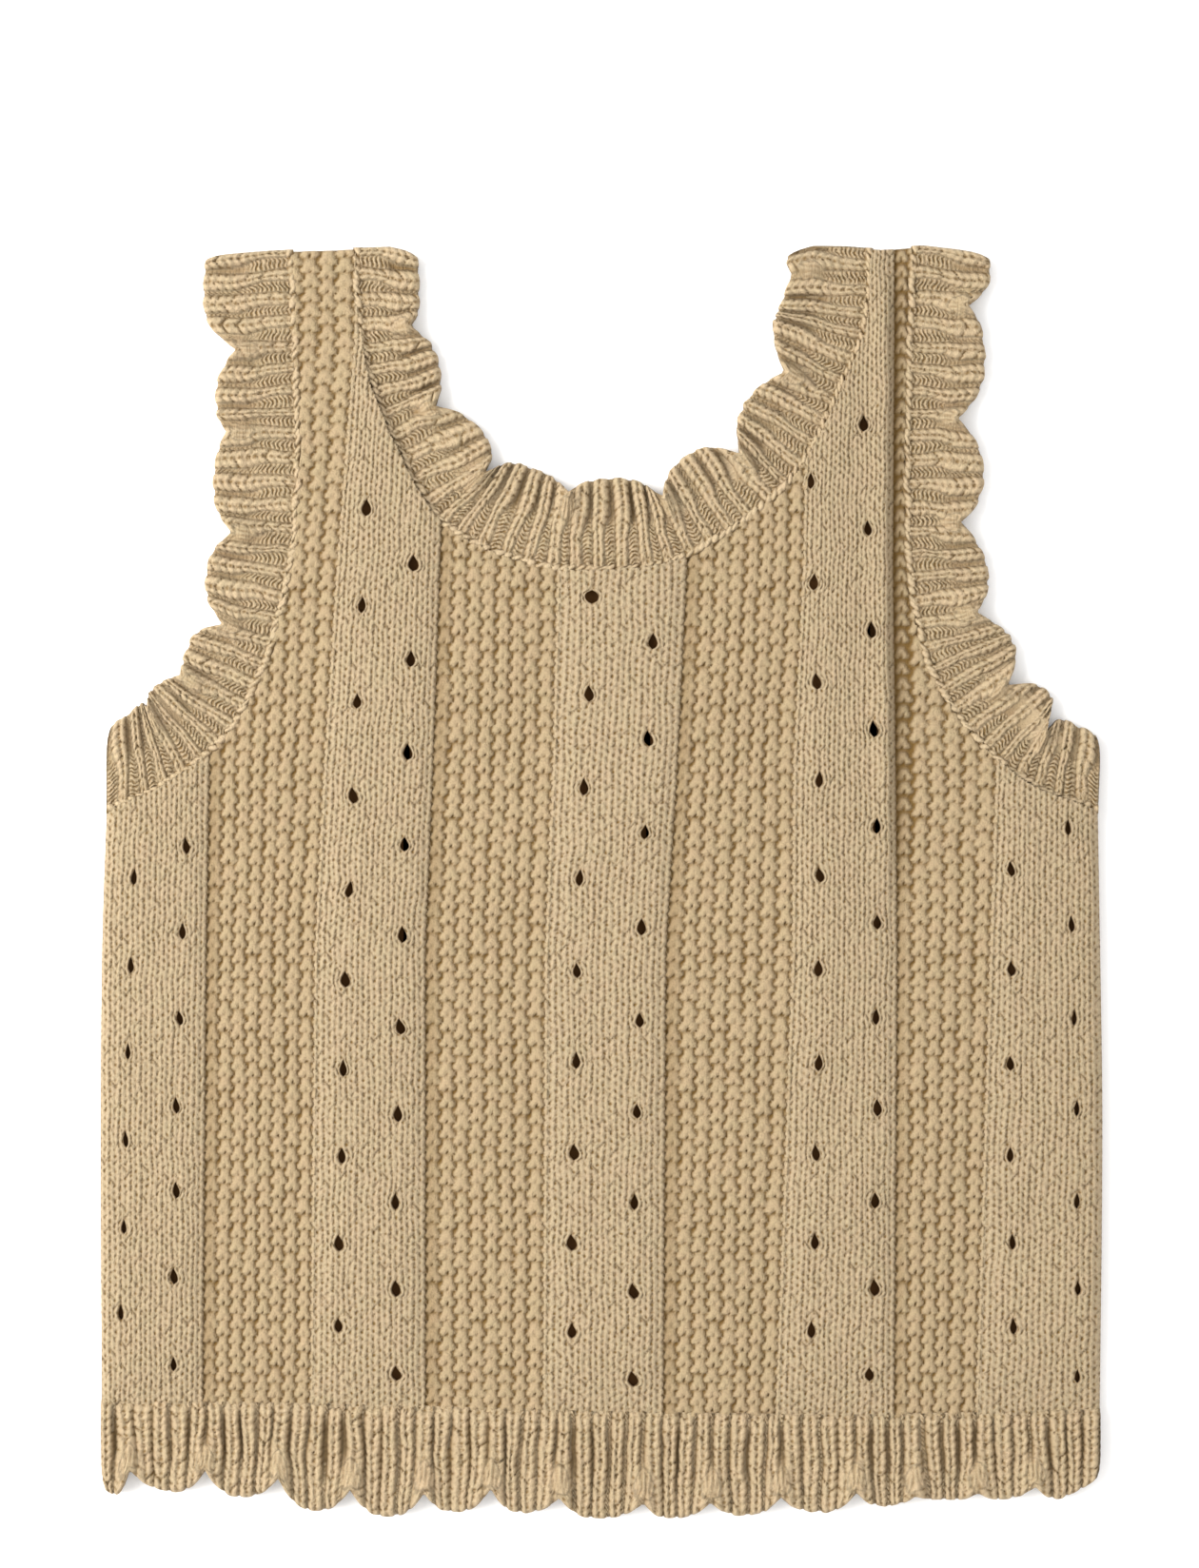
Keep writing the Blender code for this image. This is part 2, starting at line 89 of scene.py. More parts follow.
# Where the frills are picked up along the panels, from the shoulder down and round
NECK_SEAM = (
    Point(-74.0, HALF_LENGTH),
    Point(-73.0, 171.0),
    Point(-69.5, 152.0),
    Point(-62.0, 133.0),
    Point(-46.5, 108.0),
    Point(-25.0, 97.5),
    Point(2.0, 94.7),
    Point(22.0, 97.5),
    Point(40.0, 107.5),
    Point(59.0, 124.5),
    Point(71.0, 147.0),
    Point(79.5, 169.0),
    Point(81.0, HALF_LENGTH),
)
LEFT_ARMHOLE_SEAM = (
    Point(-94.0, HALF_LENGTH),
    Point(-92.5, 160.0),
    Point(-91.6, 130.0),
    Point(-94.2, 95.0),
    Point(-102.0, 66.0),
    Point(-113.0, 45.5),
    Point(-130.0, 31.0),
    Point(-149.5, 22.0),
)
RIGHT_ARMHOLE_SEAM = (
    Point(94.5, HALF_LENGTH),
    Point(93.0, 156.0),
    Point(92.4, 118.0),
    Point(94.5, 84.0),
    Point(99.0, 66.0),
    Point(112.0, 45.5),
    Point(128.0, 31.0),
    Point(150.0, 22.0),
)
LEFT_SIDE = (Point(-149.5, 22.0), Point(-150.8, -15.0), Point(-151.3, -60.0), Point(-151.0, -158.5))
RIGHT_SIDE = (Point(150.0, 22.0), Point(150.6, -15.0), Point(151.3, -60.0), Point(150.6, -161.5))
HEM_SEAM = (
    Point(-151.0, -158.5),
    Point(-75.0, -160.0),
    Point(0.0, -162.0),
    Point(75.0, -163.0),
    Point(150.6, -161.5),
)

# The free edge of each frill: how far along its seam, and how deep, it turns in a lobe or a notch
NECK_EDGE = (
    Turn(0.0, 18.2, True),
    Turn(14.4, 18.4, True),
    Turn(25.3, 14.9, False),
    Turn(39.6, 20.7, True),
    Turn(55.1, 15.5, False),
    Turn(72.6, 25.0, True),
    Turn(84.5, 19.5, False),
    Turn(107.0, 27.4, True),
    Turn(125.7, 23.0, False),
    Turn(140.0, 27.0, True),
    Turn(164.2, 19.2, False),
    Turn(180.6, 25.6, True),
    Turn(195.8, 16.1, False),
    Turn(212.5, 24.0, True),
    Turn(230.0, 17.2, False),
    Turn(247.5, 26.4, True),
    Turn(268.7, 23.3, False),
    Turn(276.0, 24.8, True),
)
LEFT_ARMHOLE_EDGE = (
    Turn(0.0, 25.4, True),
    Turn(15.5, 27.0, True),
    Turn(30.4, 17.8, False),
    Turn(46.0, 24.5, True),
    Turn(55.4, 21.8, False),
    Turn(72.0, 25.2, True),
    Turn(87.9, 18.9, False),
    Turn(102.2, 24.4, True),
    Turn(118.9, 15.8, False),
    Turn(129.2, 23.0, True),
    Turn(141.7, 21.5, False),
    Turn(158.5, 25.2, True),
    Turn(169.4, 22.6, False),
    Turn(181.0, 26.0, True),
    Turn(193.0, 24.5, True),
)
RIGHT_ARMHOLE_EDGE = (
    Turn(0.0, 22.6, True),
    Turn(6.0, 23.0, True),
    Turn(17.2, 17.2, False),
    Turn(33.3, 22.7, True),
    Turn(51.1, 15.2, False),
    Turn(68.3, 23.0, True),
    Turn(82.7, 16.1, False),
    Turn(101.3, 23.3, True),
    Turn(112.8, 18.1, False),
    Turn(131.2, 25.6, True),
    Turn(144.7, 17.2, False),
    Turn(157.0, 24.8, True),
    Turn(171.0, 16.1, False),
    Turn(183.0, 22.6, True),
    Turn(194.0, 21.8, True),
)
HEM_EDGE = (
    Turn(0.0, 25.2, True),
    Turn(3.4, 26.2, True),
    Turn(8.6, 18.6, False),
    Turn(22.4, 25.0, True),
    Turn(31.9, 18.6, False),
    Turn(43.0, 26.2, True),
    Turn(54.0, 20.4, False),
    Turn(65.2, 29.9, True),
    Turn(75.8, 23.5, False),
    Turn(87.3, 31.3, True),
    Turn(98.2, 23.8, False),
    Turn(107.6, 29.3, True),
    Turn(118.3, 21.9, False),
    Turn(127.7, 28.8, True),
    Turn(138.9, 24.2, False),
    Turn(150.4, 30.0, True),
    Turn(164.2, 25.3, False),
    Turn(172.8, 29.5, True),
    Turn(184.3, 24.7, False),
    Turn(194.4, 28.3, True),
    Turn(205.3, 22.8, False),
    Turn(216.5, 27.2, True),
    Turn(227.9, 21.3, False),
    Turn(236.0, 25.4, True),
    Turn(245.2, 22.7, False),
    Turn(255.5, 23.8, True),
    Turn(264.1, 22.1, False),
    Turn(271.3, 23.9, True),
    Turn(281.6, 20.6, False),
    Turn(290.0, 24.3, True),
    Turn(301.6, 19.0, True),
)

# How the strap tops' edge dips below a straight line, across the garment
STRAP_WAVE = (
    Point(-121.0, -2.6),
    Point(-112.0, -2.2),
    Point(-98.0, -1.1),
    Point(-88.0, -0.8),
    Point(-64.0, 0.0),
    Point(-56.0, -1.6),
    Point(55.0, -1.6),
    Point(64.0, 0.3),
    Point(74.0, 0.1),
    Point(84.0, -0.7),
    Point(97.0, 0.4),
    Point(108.0, -0.9),
    Point(118.0, -2.4),
)
STRAP_REACH = 24.0

# Where the stockinette bands end and the moss bands begin, across the garment at five heights
BORDER_HEIGHTS = Border(165.0, 95.0, 36.0, -21.0, -158.0)
BORDERS = (
    Border(-117.0, -118.0, -118.3, -119.3, -120.3),
    Border(-74.6, -80.0, -83.8, -86.7, -88.1),
    Border(-46.0, -48.8, -50.8, -53.1, -53.1),
    Border(-12.0, -13.5, -14.9, -17.2, -17.8),
    Border(28.0, 25.8, 23.0, 19.5, 18.7),
    Border(62.0, 60.8, 57.8, 57.4, 52.5),
    Border(88.4, 88.0, 88.8, 89.3, 88.4),
    Border(116.0, 117.5, 119.0, 117.1, 112.8),
)
FOLD_BORDER = BORDERS[6]

# Stitch columns in each band, from the left: stockinette wales and moss columns take turns
BAND_STITCHES = (10, 8, 10, 8, 10, 8, 10, 6, 10)

# The columns of eyelets, two to a stockinette band. In the middle of its height a column bows aside and sags
EYELETS = (
    Eyelets(-145.0, -141.0, 0.0, -129.8, 1.4, 0.0, 6),
    Eyelets(-128.9, -125.2, -1.0, -145.0, 11.2, 0.0, 7),
    Eyelets(-79.5, -70.6, -1.5, -133.5, 113.1, 5.4, 10),
    Eyelets(-62.0, -56.6, -1.3, -148.4, 96.2, 3.6, 10),
    Eyelets(-8.6, -2.3, -1.7, -135.2, 85.8, 1.8, 9),
    Eyelets(9.2, 15.5, -1.0, -149.9, 72.6, 2.8, 9),
    Eyelets(63.4, 63.2, 2.2, -134.9, 121.2, 5.2, 10),
    Eyelets(81.0, 79.0, 3.3, -148.4, 138.1, 7.0, 11),
    Eyelets(124.3, 123.7, -0.4, -133.8, 4.0, 3.7, 6),
    Eyelets(143.8, 140.4, 1.1, -149.0, 16.5, 2.0, 7),
)

# How finely each side's stitches are meshed
FRONT_DETAIL = Detail(7, 8, 4)
BACK_DETAIL = Detail(3, 4, 2)

# The eyelets' open shape
EYELET_HEIGHT = 4.5
EYELET_HALF_WIDTH = 1.3
EYELET_REACH = 4.0
EYELET_LEAN = 0.5
EYELET_ROUNDNESS = 1.5
EYELET_BLUNTNESS = 0.8
# How far above and below an eyelet the line of its column reaches, where the cloth sinks and takes painted
# shade
EYELET_LINE = 2.4

# A stockinette leg's place, lean and size, in wales and rows
LEG_PLACE = 0.27
LEG_LEAN = 0.28
LEG_HALF_WIDTH = 0.27
LEG_HALF_LENGTH = 0.70
LEG_TILT = 0.55

# A moss bump's shape, in columns across and bumps down, and the height of the gaps beside it
BUMP_NECK = 0.36
BUMP_FOOT = 0.61
BUMP_START = -0.08
BUMP_FALL = 0.84
BUMP_END = 1.09
BUMP_NICK = 0.2
BUMP_NICK_WIDTH = 0.09
MOSS_FLOOR = 0.16

# How many mesh columns a moss band reaches under its neighbours
MOSS_LAP = 2

# The cross strands in a frill's furrows, with painted shade strokes between them, and a place across a rib
# that has no painted shade dots
RUNGS_PER_ROW = 1.7
RUNG_SLANT = 0.7
NO_DOT_SHADE = 5.0

# The picked-up chain: the length, shape and lean of a loop, and the height that it lies at
CHAIN_PITCH = 2.4
CHAIN_LOOP = 0.54
CHAIN_LEAN = 0.45
CHAIN_TOP = 4.4
CHAIN_STEP = 0.45
CHAIN_COLUMNS = 9

# Heights and reaches of the hem's and the frills' cloth
HEM_START = -2.4
HEM_START_SPREAD = 1.4
HEM_TOP_ROUND = 2.0
HEM_BASE = 2.0
HEM_FLAT = 16.0
FRILL_BASE = 1.0
RIB_DRIFT = 0.16
END_REACH = 4.0
EDGE_ROUND = 1.8
SLOT_PLACE = 1.9
STRAP_TOP_REACH = 4.0
FRONT_ROW_STEP = 0.5
BACK_ROW_STEP = 1.2
PUFF_WIDTH = 3.0
PUFF_SHARE = 0.76
STRAP_DROP = 1.3

# The widest eyelet, below the middle of the neck
WIDE_EYELET = Point(-2.3, 85.8)
WIDE_EYELET_HEIGHT = 3.4
WIDE_EYELET_HALF_WIDTH = 2.1

# How a thin cloth's edges fold down
SIDE_ROUND = 3.0
SIDE_DROP = 2.0
SIDE_FLOOR = 3.0

# How the panel's outline is measured
OUTLINE_STEP = 2.5
OUTLINE_CHUNK = 6000
FAR_INSIDE = 50.0
CLEAR_LOW, CLEAR_HIGH = -154.0, 14.0
SIDE_MARGIN = 4.0

# How each kind of stitch tints the yarn's colour: painted shade on the moss and painted light on the ribs,
# standing in for how much light sinks into each
STITCH_LIGHT_AND_SHADE = {"stockinette": (1.0, 1.0, 1.0), "moss": (0.90, 0.87, 0.81), "rib": (1.11, 1.10, 1.09)}

# Factors of the repeatable unevenness
HASH_FACTORS = (12.9898, 78.233, 37.719)
HASH_SCALE = 43758.5453

# The studio, in metres
FLOOR_SIZE = 6.0
FLOOR_HEIGHT = -0.0003
LAMP_SIZE = 1.1
LAMP_PLACE = (-1.1, 0.16, 1.0)
LAMP_COLOUR = (1.0, 0.985, 0.96)
SENSOR_HEIGHT = 36.0


class CottonSettings(bpy.types.PropertyGroup):
    """Colours and finish of the cotton yarn, with the colours of its painted shade."""

    yarn: bpy.props.FloatVectorProperty(
        name="Yarn", description="Colour of the cotton in full light", default=(0.410, 0.320, 0.205),
        subtype="COLOR", min=0.0, max=1.0,
    )
    # Painted shade: the colour that the yarn darkens to between the strands and in the stitches' pits
    crevice_shade: bpy.props.FloatVectorProperty(
        name="Crevice", description="Colour between the strands", default=(0.145, 0.082, 0.022),
        subtype="COLOR", min=0.0, max=1.0,
    )
    # Painted shade: the dark colour inside the eyelets, at the rims' feet and on the panels' inner side
    hollow_and_shade: bpy.props.FloatVectorProperty(
        name="Hollow", description="Colour inside the eyelets", default=(0.14, 0.06, 0.012),
        subtype="COLOR", min=0.0, max=1.0,
    )
    roughness: bpy.props.FloatProperty(
        name="Roughness", description="How matte the yarn is", default=0.92, min=0.0, max=1.0,
        subtype="FACTOR",
    )
    sheen: bpy.props.FloatProperty(
        name="Sheen", description="Soft light on the yarn's fibres", default=0.03, min=0.0, max=1.0,
        subtype="FACTOR",
    )
    # Painted shade: how dark the dots and strokes in the small gaps between the legs are
    dot_shade: bpy.props.FloatProperty(
        name="Dots", description="How dark the small gaps between the legs are", default=1.0, min=0.0,
        max=1.0, subtype="FACTOR",
    )


class StitchSettings(bpy.types.PropertyGroup):
    """Sizes of the knitted stitches."""

    row: bpy.props.FloatProperty(
        name="Row height", description="Height of one row of stitches", default=0.0023, unit="LENGTH"
    )
    leg_rise: bpy.props.FloatProperty(
        name="Leg rise", description="How far a stockinette leg stands out", default=0.0010, unit="LENGTH"
    )
    bump_rise: bpy.props.FloatProperty(
        name="Bump rise", description="How far a moss bump stands out", default=0.0014, unit="LENGTH"
    )
    band_rise: bpy.props.FloatProperty(
        name="Band rise", description="How far a stockinette band stands above the moss", default=0.0017,
        unit="LENGTH",
    )
    fold_rise: bpy.props.FloatProperty(
        name="Fold rise", description="Height of the long fold below the right shoulder", default=0.0020,
        unit="LENGTH",
    )


class FrillSettings(bpy.types.PropertyGroup):
    """Sizes of the ribbed frills."""

    rib_rise: bpy.props.FloatProperty(
        name="Rib rise", description="How far a rib stands above the furrow beside it", default=0.0012,
        unit="LENGTH",
    )
    puff_rise: bpy.props.FloatProperty(
        name="Puff rise", description="How far the cloth swells above each notch", default=0.0010,
        unit="LENGTH",
    )
    chain_width: bpy.props.FloatProperty(
        name="Chain width", description="Width of the picked-up chain at a frill's seam", default=0.0025,
        unit="LENGTH",
    )


class StudioSettings(bpy.types.PropertyGroup):
    """Camera, lights and floor."""

    distance: bpy.props.FloatProperty(
        name="Camera height", description="Height of the camera over the cloth", default=1.5, unit="LENGTH"
    )
    frame_height: bpy.props.FloatProperty(
        name="Frame height", description="Height of the picture on the cloth", default=0.4731, unit="LENGTH"
    )
    centre: bpy.props.FloatVectorProperty(
        name="Centre", description="Point of the cloth in the middle of the picture",
        default=(-0.00057, 0.0296, 0.0055), unit="LENGTH", subtype="TRANSLATION",
    )
    key_power: bpy.props.FloatProperty(
        name="Key light", description="Power of the soft light at the upper left", default=35.0, unit="POWER"
    )
    sky: bpy.props.FloatProperty(name="Sky", description="Strength of the even light all round", default=1.2)
    floor: bpy.props.FloatVectorProperty(
        name="Floor", description="Colour of the floor", default=(1.0, 1.0, 1.0), subtype="COLOR", min=0.0,
        max=1.0,
    )


def smooth_step(value, low=0.0, high=1.0):
    """A soft step: 0 at the low value, 1 at the high one and level at both."""
    u = np.clip((value - low) / (high - low), 0, 1)
    return u * u * (3 - 2 * u)


def hashed(*numbers):
    """A repeatable value from 0 to 1 for each set of whole numbers."""
    mixed = sum(number * factor for number, factor in zip(numbers, HASH_FACTORS))
    return np.modf(np.abs(np.sin(mixed) * HASH_SCALE))[0]


def wander(x, y, size, seed):
    """Soft unevenness from -1 to 1 that changes over about the given size."""
    column, row = np.floor(x / size), np.floor(y / size)
    u, v = smooth_step(x / size - column), smooth_step(y / size - row)
    low = hashed(column, row, seed) * (1 - u) + hashed(column + 1, row, seed) * u
    high = hashed(column, row + 1, seed) * (1 - u) + hashed(column + 1, row + 1, seed) * u
    return 2 * (low * (1 - v) + high * v) - 1


def smooth_curve(points):
    """A fine polyline on the smooth curve that passes through the given points."""
    points = np.array(points, float)
    chords = np.linalg.norm(np.diff(points, axis=0), axis=1)
    knots = np.concatenate([[0.0], np.cumsum(chords)])
    slopes = np.gradient(points, knots, axis=0)
    at = np.linspace(0.0, knots[-1], int(knots[-1] / CURVE_STEP) + 2)
    first = np.clip(np.searchsorted(knots, at, side="right") - 1, 0, len(points) - 2)
    span = (knots[first + 1] - knots[first])[:, None]
    u = (at - knots[first])[:, None] / span
    start, end = points[first], points[first + 1]
    leaving, arriving = slopes[first] * span, slopes[first + 1] * span
    rise = u * u * (3 - 2 * u)
    return start + (end - start) * rise + leaving * u * (1 - u) ** 2 - arriving * u * u * (1 - u)


class Seam:
    """A seam line, and the way that its frill points along it."""

    def __init__(self, points, side, start_way=None, end_way=None):
        self.line = smooth_curve(points)
        steps = np.linalg.norm(np.diff(self.line, axis=0), axis=1)
        self.marks = np.concatenate([[0.0], np.cumsum(steps)])
        self.length = self.marks[-1]
        along = np.gradient(self.line, self.marks, axis=0)
        along /= np.linalg.norm(along, axis=1)[:, None]
        self.ways = side * np.stack([-along[:, 1], along[:, 0]], axis=1)
        self.turn_to(start_way, self.marks)
        self.turn_to(end_way, self.length - self.marks)

    def turn_to(self, way, distance):
        """Turns the frill's direction smoothly towards the given way near one end."""
        if way is None:
            return
        weight = smooth_step(1 - distance / END_TURN)[:, None]
        self.ways = self.ways * (1 - weight) + np.array(way) * weight
        self.ways /= np.linalg.norm(self.ways, axis=1)[:, None]

    def read(self, table, along):
        """The table's rows at the given lengths along the seam."""
        return np.stack([np.interp(along, self.marks, table[:, axis]) for axis in (0, 1)], axis=-1)

    def point(self, along):
        """Points on the seam."""
        return self.read(self.line, along)

    def way(self, along):
        """The frill's direction along the seam."""
        return self.read(self.ways, along)

    def spaced(self, step):
        """Points at an even spacing close to the step, both ends included."""
        count = max(1, round(self.length / step))
        return self.point(np.linspace(0.0, self.length, count + 1))


SEAMS = {
    "neck": Seam(NECK_SEAM, 1, (1.0, 0.0), (-1.0, 0.0)),
    "left": Seam(LEFT_ARMHOLE_SEAM, -1, (-1.0, 0.0), (0.0, 1.0)),
    "right": Seam(RIGHT_ARMHOLE_SEAM, 1, (1.0, 0.0), (0.04, 1.0)),
    "hem": Seam(HEM_SEAM, -1, (0.0, -1.0), (0.0, -1.0)),
}

# The frills: a rib's pitch along the seam, the knit part of a rib and how much it spreads outwards, how deep
# its furrow is and how dark its painted shade is, the mesh columns to a rib, and how far ribs are pulled from
# the notches
FRILLS = (
    Frill("neck_frill", "neck", NECK_EDGE, 7.2, 0.48, 0.28, 1.2, 0.8, 15, 0.9),
    Frill("armhole_frill_left", "left", LEFT_ARMHOLE_EDGE, 6.9, 0.46, 0.28, 0.6, 0.5, 15, 0.9),
    Frill("armhole_frill_right", "right", RIGHT_ARMHOLE_EDGE, 6.9, 0.46, 0.28, 0.6, 0.5, 15, 0.9),
    Frill("hem_rib", "hem", HEM_EDGE, 5.3, 0.84, 0.02, 0.6, 0.85, 12, 1.2),
)


def panel_outline(step):
    """The panel's closed outline, anticlockwise from the left underarm, with a margin beyond both sides."""
    stretches = (
        Seam(LEFT_SIDE, 1).spaced(step) - (SIDE_MARGIN, 0.0),
        SEAMS["hem"].spaced(step),
        Seam(RIGHT_SIDE, 1).spaced(step)[::-1] + (SIDE_MARGIN, 0.0),
        SEAMS["right"].spaced(step)[::-1],
        Seam((RIGHT_ARMHOLE_SEAM[0], NECK_SEAM[-1]), 1).spaced(step),
        SEAMS["neck"].spaced(step)[::-1],
        Seam((NECK_SEAM[0], LEFT_ARMHOLE_SEAM[0]), 1).spaced(step),
        SEAMS["left"].spaced(step),
    )
    return np.concatenate([stretch[:-1] for stretch in stretches])


OUTLINE = panel_outline(OUTLINE_STEP)


def inside_outline(points, outline):
    """Which points lie within the closed outline."""
    x, y = points[:, 0, None], points[:, 1, None]
    x0, y0 = outline[:, 0], outline[:, 1]
    x1, y1 = np.roll(x0, -1), np.roll(y0, -1)
    crosses = (y0 > y) != (y1 > y)
    reach = np.where(y1 == y0, 0.0, (x1 - x0) * (y - y0) / np.where(y1 == y0, 1.0, y1 - y0) + x0)
    return (crosses & (x < reach)).sum(axis=1) % 2 == 1


def distance_to_outline(points, outline):
    """Least distance from each point to the closed outline."""
    run = np.roll(outline, -1, axis=0) - outline
    offset = points[:, None, :] - outline[None]
    share = np.clip((offset * run).sum(axis=2) / (run**2).sum(axis=1), 0, 1)
    nearest = outline + share[:, :, None] * run
    return np.linalg.norm(points[:, None, :] - nearest, axis=2).min(axis=1)


def measure_edge(points):
    """How far each point is inside the panel's outline. The open sides don't count, as bands end on them."""
    depth = np.full(len(points), FAR_INSIDE)
    is_clear = (points[:, 1] > CLEAR_LOW) & (points[:, 1] < CLEAR_HIGH)
    near = np.flatnonzero(~is_clear)
    for start in range(0, len(near), OUTLINE_CHUNK):
        rows = near[start : start + OUTLINE_CHUNK]
        far = distance_to_outline(points[rows], OUTLINE)
        depth[rows] = np.where(inside_outline(points[rows], OUTLINE), far, -far)
    return depth


def border_at(border, heights):
    """Where a border runs across the garment at the given heights."""
    return np.interp(heights, BORDER_HEIGHTS[::-1], border[::-1])


LEFT_EDGE, RIGHT_EDGE = smooth_curve(LEFT_SIDE), smooth_curve(RIGHT_SIDE)


def band_edges(number, heights, is_front):
    """The left and right edges of a band at the given heights. The back's bands are the front's, mirrored."""
    inner = [border_at(border, heights) for border in BORDERS]
    if not is_front:
        inner = [-edge for edge in reversed(inner)]
    left = np.interp(heights, LEFT_EDGE[::-1, 1], LEFT_EDGE[::-1, 0])
    right = np.interp(heights, RIGHT_EDGE[::-1, 1], RIGHT_EDGE[::-1, 0])
    edges = [left] + inner + [right]
    return edges[number], edges[number + 1]


def strand(along, across, half_length, half_width):
    """Height of a round strand, from 0 to 1, at places along and across it."""
    return np.sqrt(np.clip(1 - (along / half_length) ** 2 - (across / half_width) ** 2, 0, 1))


def strap_wave(x, y):
    """How far the strap tops' edge dips below a straight line, fading out down the strap."""
    dip = np.interp(x, [point.x for point in STRAP_WAVE], [point.y for point in STRAP_WAVE])
    return dip * smooth_step(y, HALF_LENGTH - STRAP_REACH, HALF_LENGTH)


def stockinette_relief(across, down):
    """Columns of V-shaped stitches, each of two slanted legs. Lengths are in wales across and rows down."""
    wale, row = np.floor(across), np.floor(down)
    height = np.zeros_like(across)
    for beyond in (-1, 0, 1):
        for place, lean in ((LEG_PLACE, LEG_LEAN), (1 - LEG_PLACE, -LEG_LEAN)):
            for step in (-1, 0, 1):
                chance = hashed(wale + beyond, row + step, place)
                other = hashed(wale + beyond, row + step, place + 4.0)
                along = down - row - step - 0.5 + 0.2 * (other - 0.5)
                beside = across - wale - beyond - place - lean * along + 0.1 * (chance - 0.5)
                leg = strand(along, beside, LEG_HALF_LENGTH, LEG_HALF_WIDTH) * (0.85 + 0.3 * chance)
                height = np.maximum(height, leg * (1 - LEG_TILT * along))
    return height


def moss_relief(across, down):
    """Staggered bumps, one to every two rows: each widens as it falls and ends in two short roots.

    The gaps beside a bump are shallow, apart from a pit at its right root.
    """
    column = np.floor(across)
    height = np.zeros_like(across)
    for beyond in (-1, 0, 1):
        here = column + beyond
        pair = (down - here % 2) / 2
        number = np.floor(pair)
        for step in (-1, 0, 1):
            chance = hashed(here, number + step, 3.0)
            other = hashed(here, number + step, 7.0)
            fall = pair - number - step + 0.14 * (chance - 0.5)
            beside = across - here - 0.5 + 0.1 * (other - 0.5)
            half = BUMP_NECK + (BUMP_FOOT - BUMP_NECK) * smooth_step(fall, 0.4, 0.88)
            half = half * (0.94 + 0.12 * hashed(here, number + step, 11.0))
            body = np.clip(1 - (np.abs(beside) / half) ** 2.2, 0, 1) ** 0.5
            nick = np.exp(-((beside / BUMP_NICK_WIDTH) ** 2))
            end = BUMP_END - BUMP_NICK * nick - 0.1 * (beside / BUMP_FOOT) ** 4
            drop = np.clip((fall - BUMP_FALL) / (end - BUMP_FALL), 0, 1)
            tail = np.sqrt(np.clip(1 - drop**2, 0, 1))
            climb = smooth_step(fall, BUMP_START, 0.08) * (0.38 + 0.62 * smooth_step(fall, 0.0, 0.5))
            groove = 1 - 0.5 * nick * smooth_step(fall, 0.58, 0.78)
            height = np.maximum(height, body * tail * climb * groove * (0.85 + 0.25 * chance))
    left = np.round(across) - 1
    beside_root = np.abs(np.abs(np.modf((down - left % 2) / 2 + 0.06)[0]) - 0.5)
    return np.maximum(height, MOSS_FLOOR * smooth_step(0.5 - beside_root, 0.12, 0.3))


def new_mesh(name, points, quads, triangles, quad_slots, triangle_slots, materials, floats, stitch):
    """A mesh from points in millimetres, with its values at each point kept as named attributes."""
    data = bpy.data.meshes.new(name)
    corners = np.concatenate([np.array(quads).ravel(), np.array(triangles, int).ravel()]).astype(np.int32)
    sizes = np.concatenate([np.full(len(quads), 4), np.full(len(triangles), 3)])
    data.vertices.add(len(points))
    data.vertices.foreach_set("co", (np.array(points) * MM).astype(np.float32).ravel())
    data.loops.add(len(corners))
    data.loops.foreach_set("vertex_index", corners)
    data.polygons.add(len(sizes))
    starts = np.concatenate([[0], np.cumsum(sizes)[:-1]]).astype(np.int32)
    data.polygons.foreach_set("loop_start", starts)
    data.polygons.foreach_set("material_index", np.concatenate([quad_slots, triangle_slots]).astype(np.int32))
    for material in materials:
        data.materials.append(material)
    for key, values in floats.items():
        layer = data.attributes.new(key, "FLOAT", "POINT")
        layer.data.foreach_set("value", np.asarray(values, np.float32))
    layer = data.attributes.new("stitch", "FLOAT_VECTOR", "POINT")
    layer.data.foreach_set("vector", np.asarray(stitch, np.float32).ravel())
    data.update(calc_edges=True)
    data.validate()
    data.shade_smooth()
    thing = bpy.data.objects.new(name, data)
    bpy.context.scene.collection.objects.link(thing)
    return thing


def open_edges(quads, count):
    """Edges that only one quad has, in that quad's direction."""
    ends = np.roll(quads, -1, axis=1)
    edges = np.stack([quads.ravel(), ends.ravel()], axis=1)
    keys, backward = edges[:, 0] * count + edges[:, 1], edges[:, 1] * count + edges[:, 0]
    return edges[~np.isin(keys, backward)]


def without_pinches(quads, count):
    """Drops quads that touch others only at a corner, so that the cloth's edge is a clean line."""
    while True:
        leaving = np.bincount(open_edges(quads, count)[:, 0], minlength=count)
        pinched = np.flatnonzero(leaving > 1)
        if not len(pinched):
            return quads
        quads = quads[~np.isin(quads, pinched).any(axis=1)]


def edge_loops(edges):
    """The closed loops that the edges make."""
    following = dict(map(tuple, edges.tolist()))
    loops = []
    while following:
        start, at = following.popitem()
        loop = [start]
        while at != start:
            loop.append(at)
            at = following.pop(at)
        loops.append(loop)
    return sorted(loops, key=len, reverse=True)


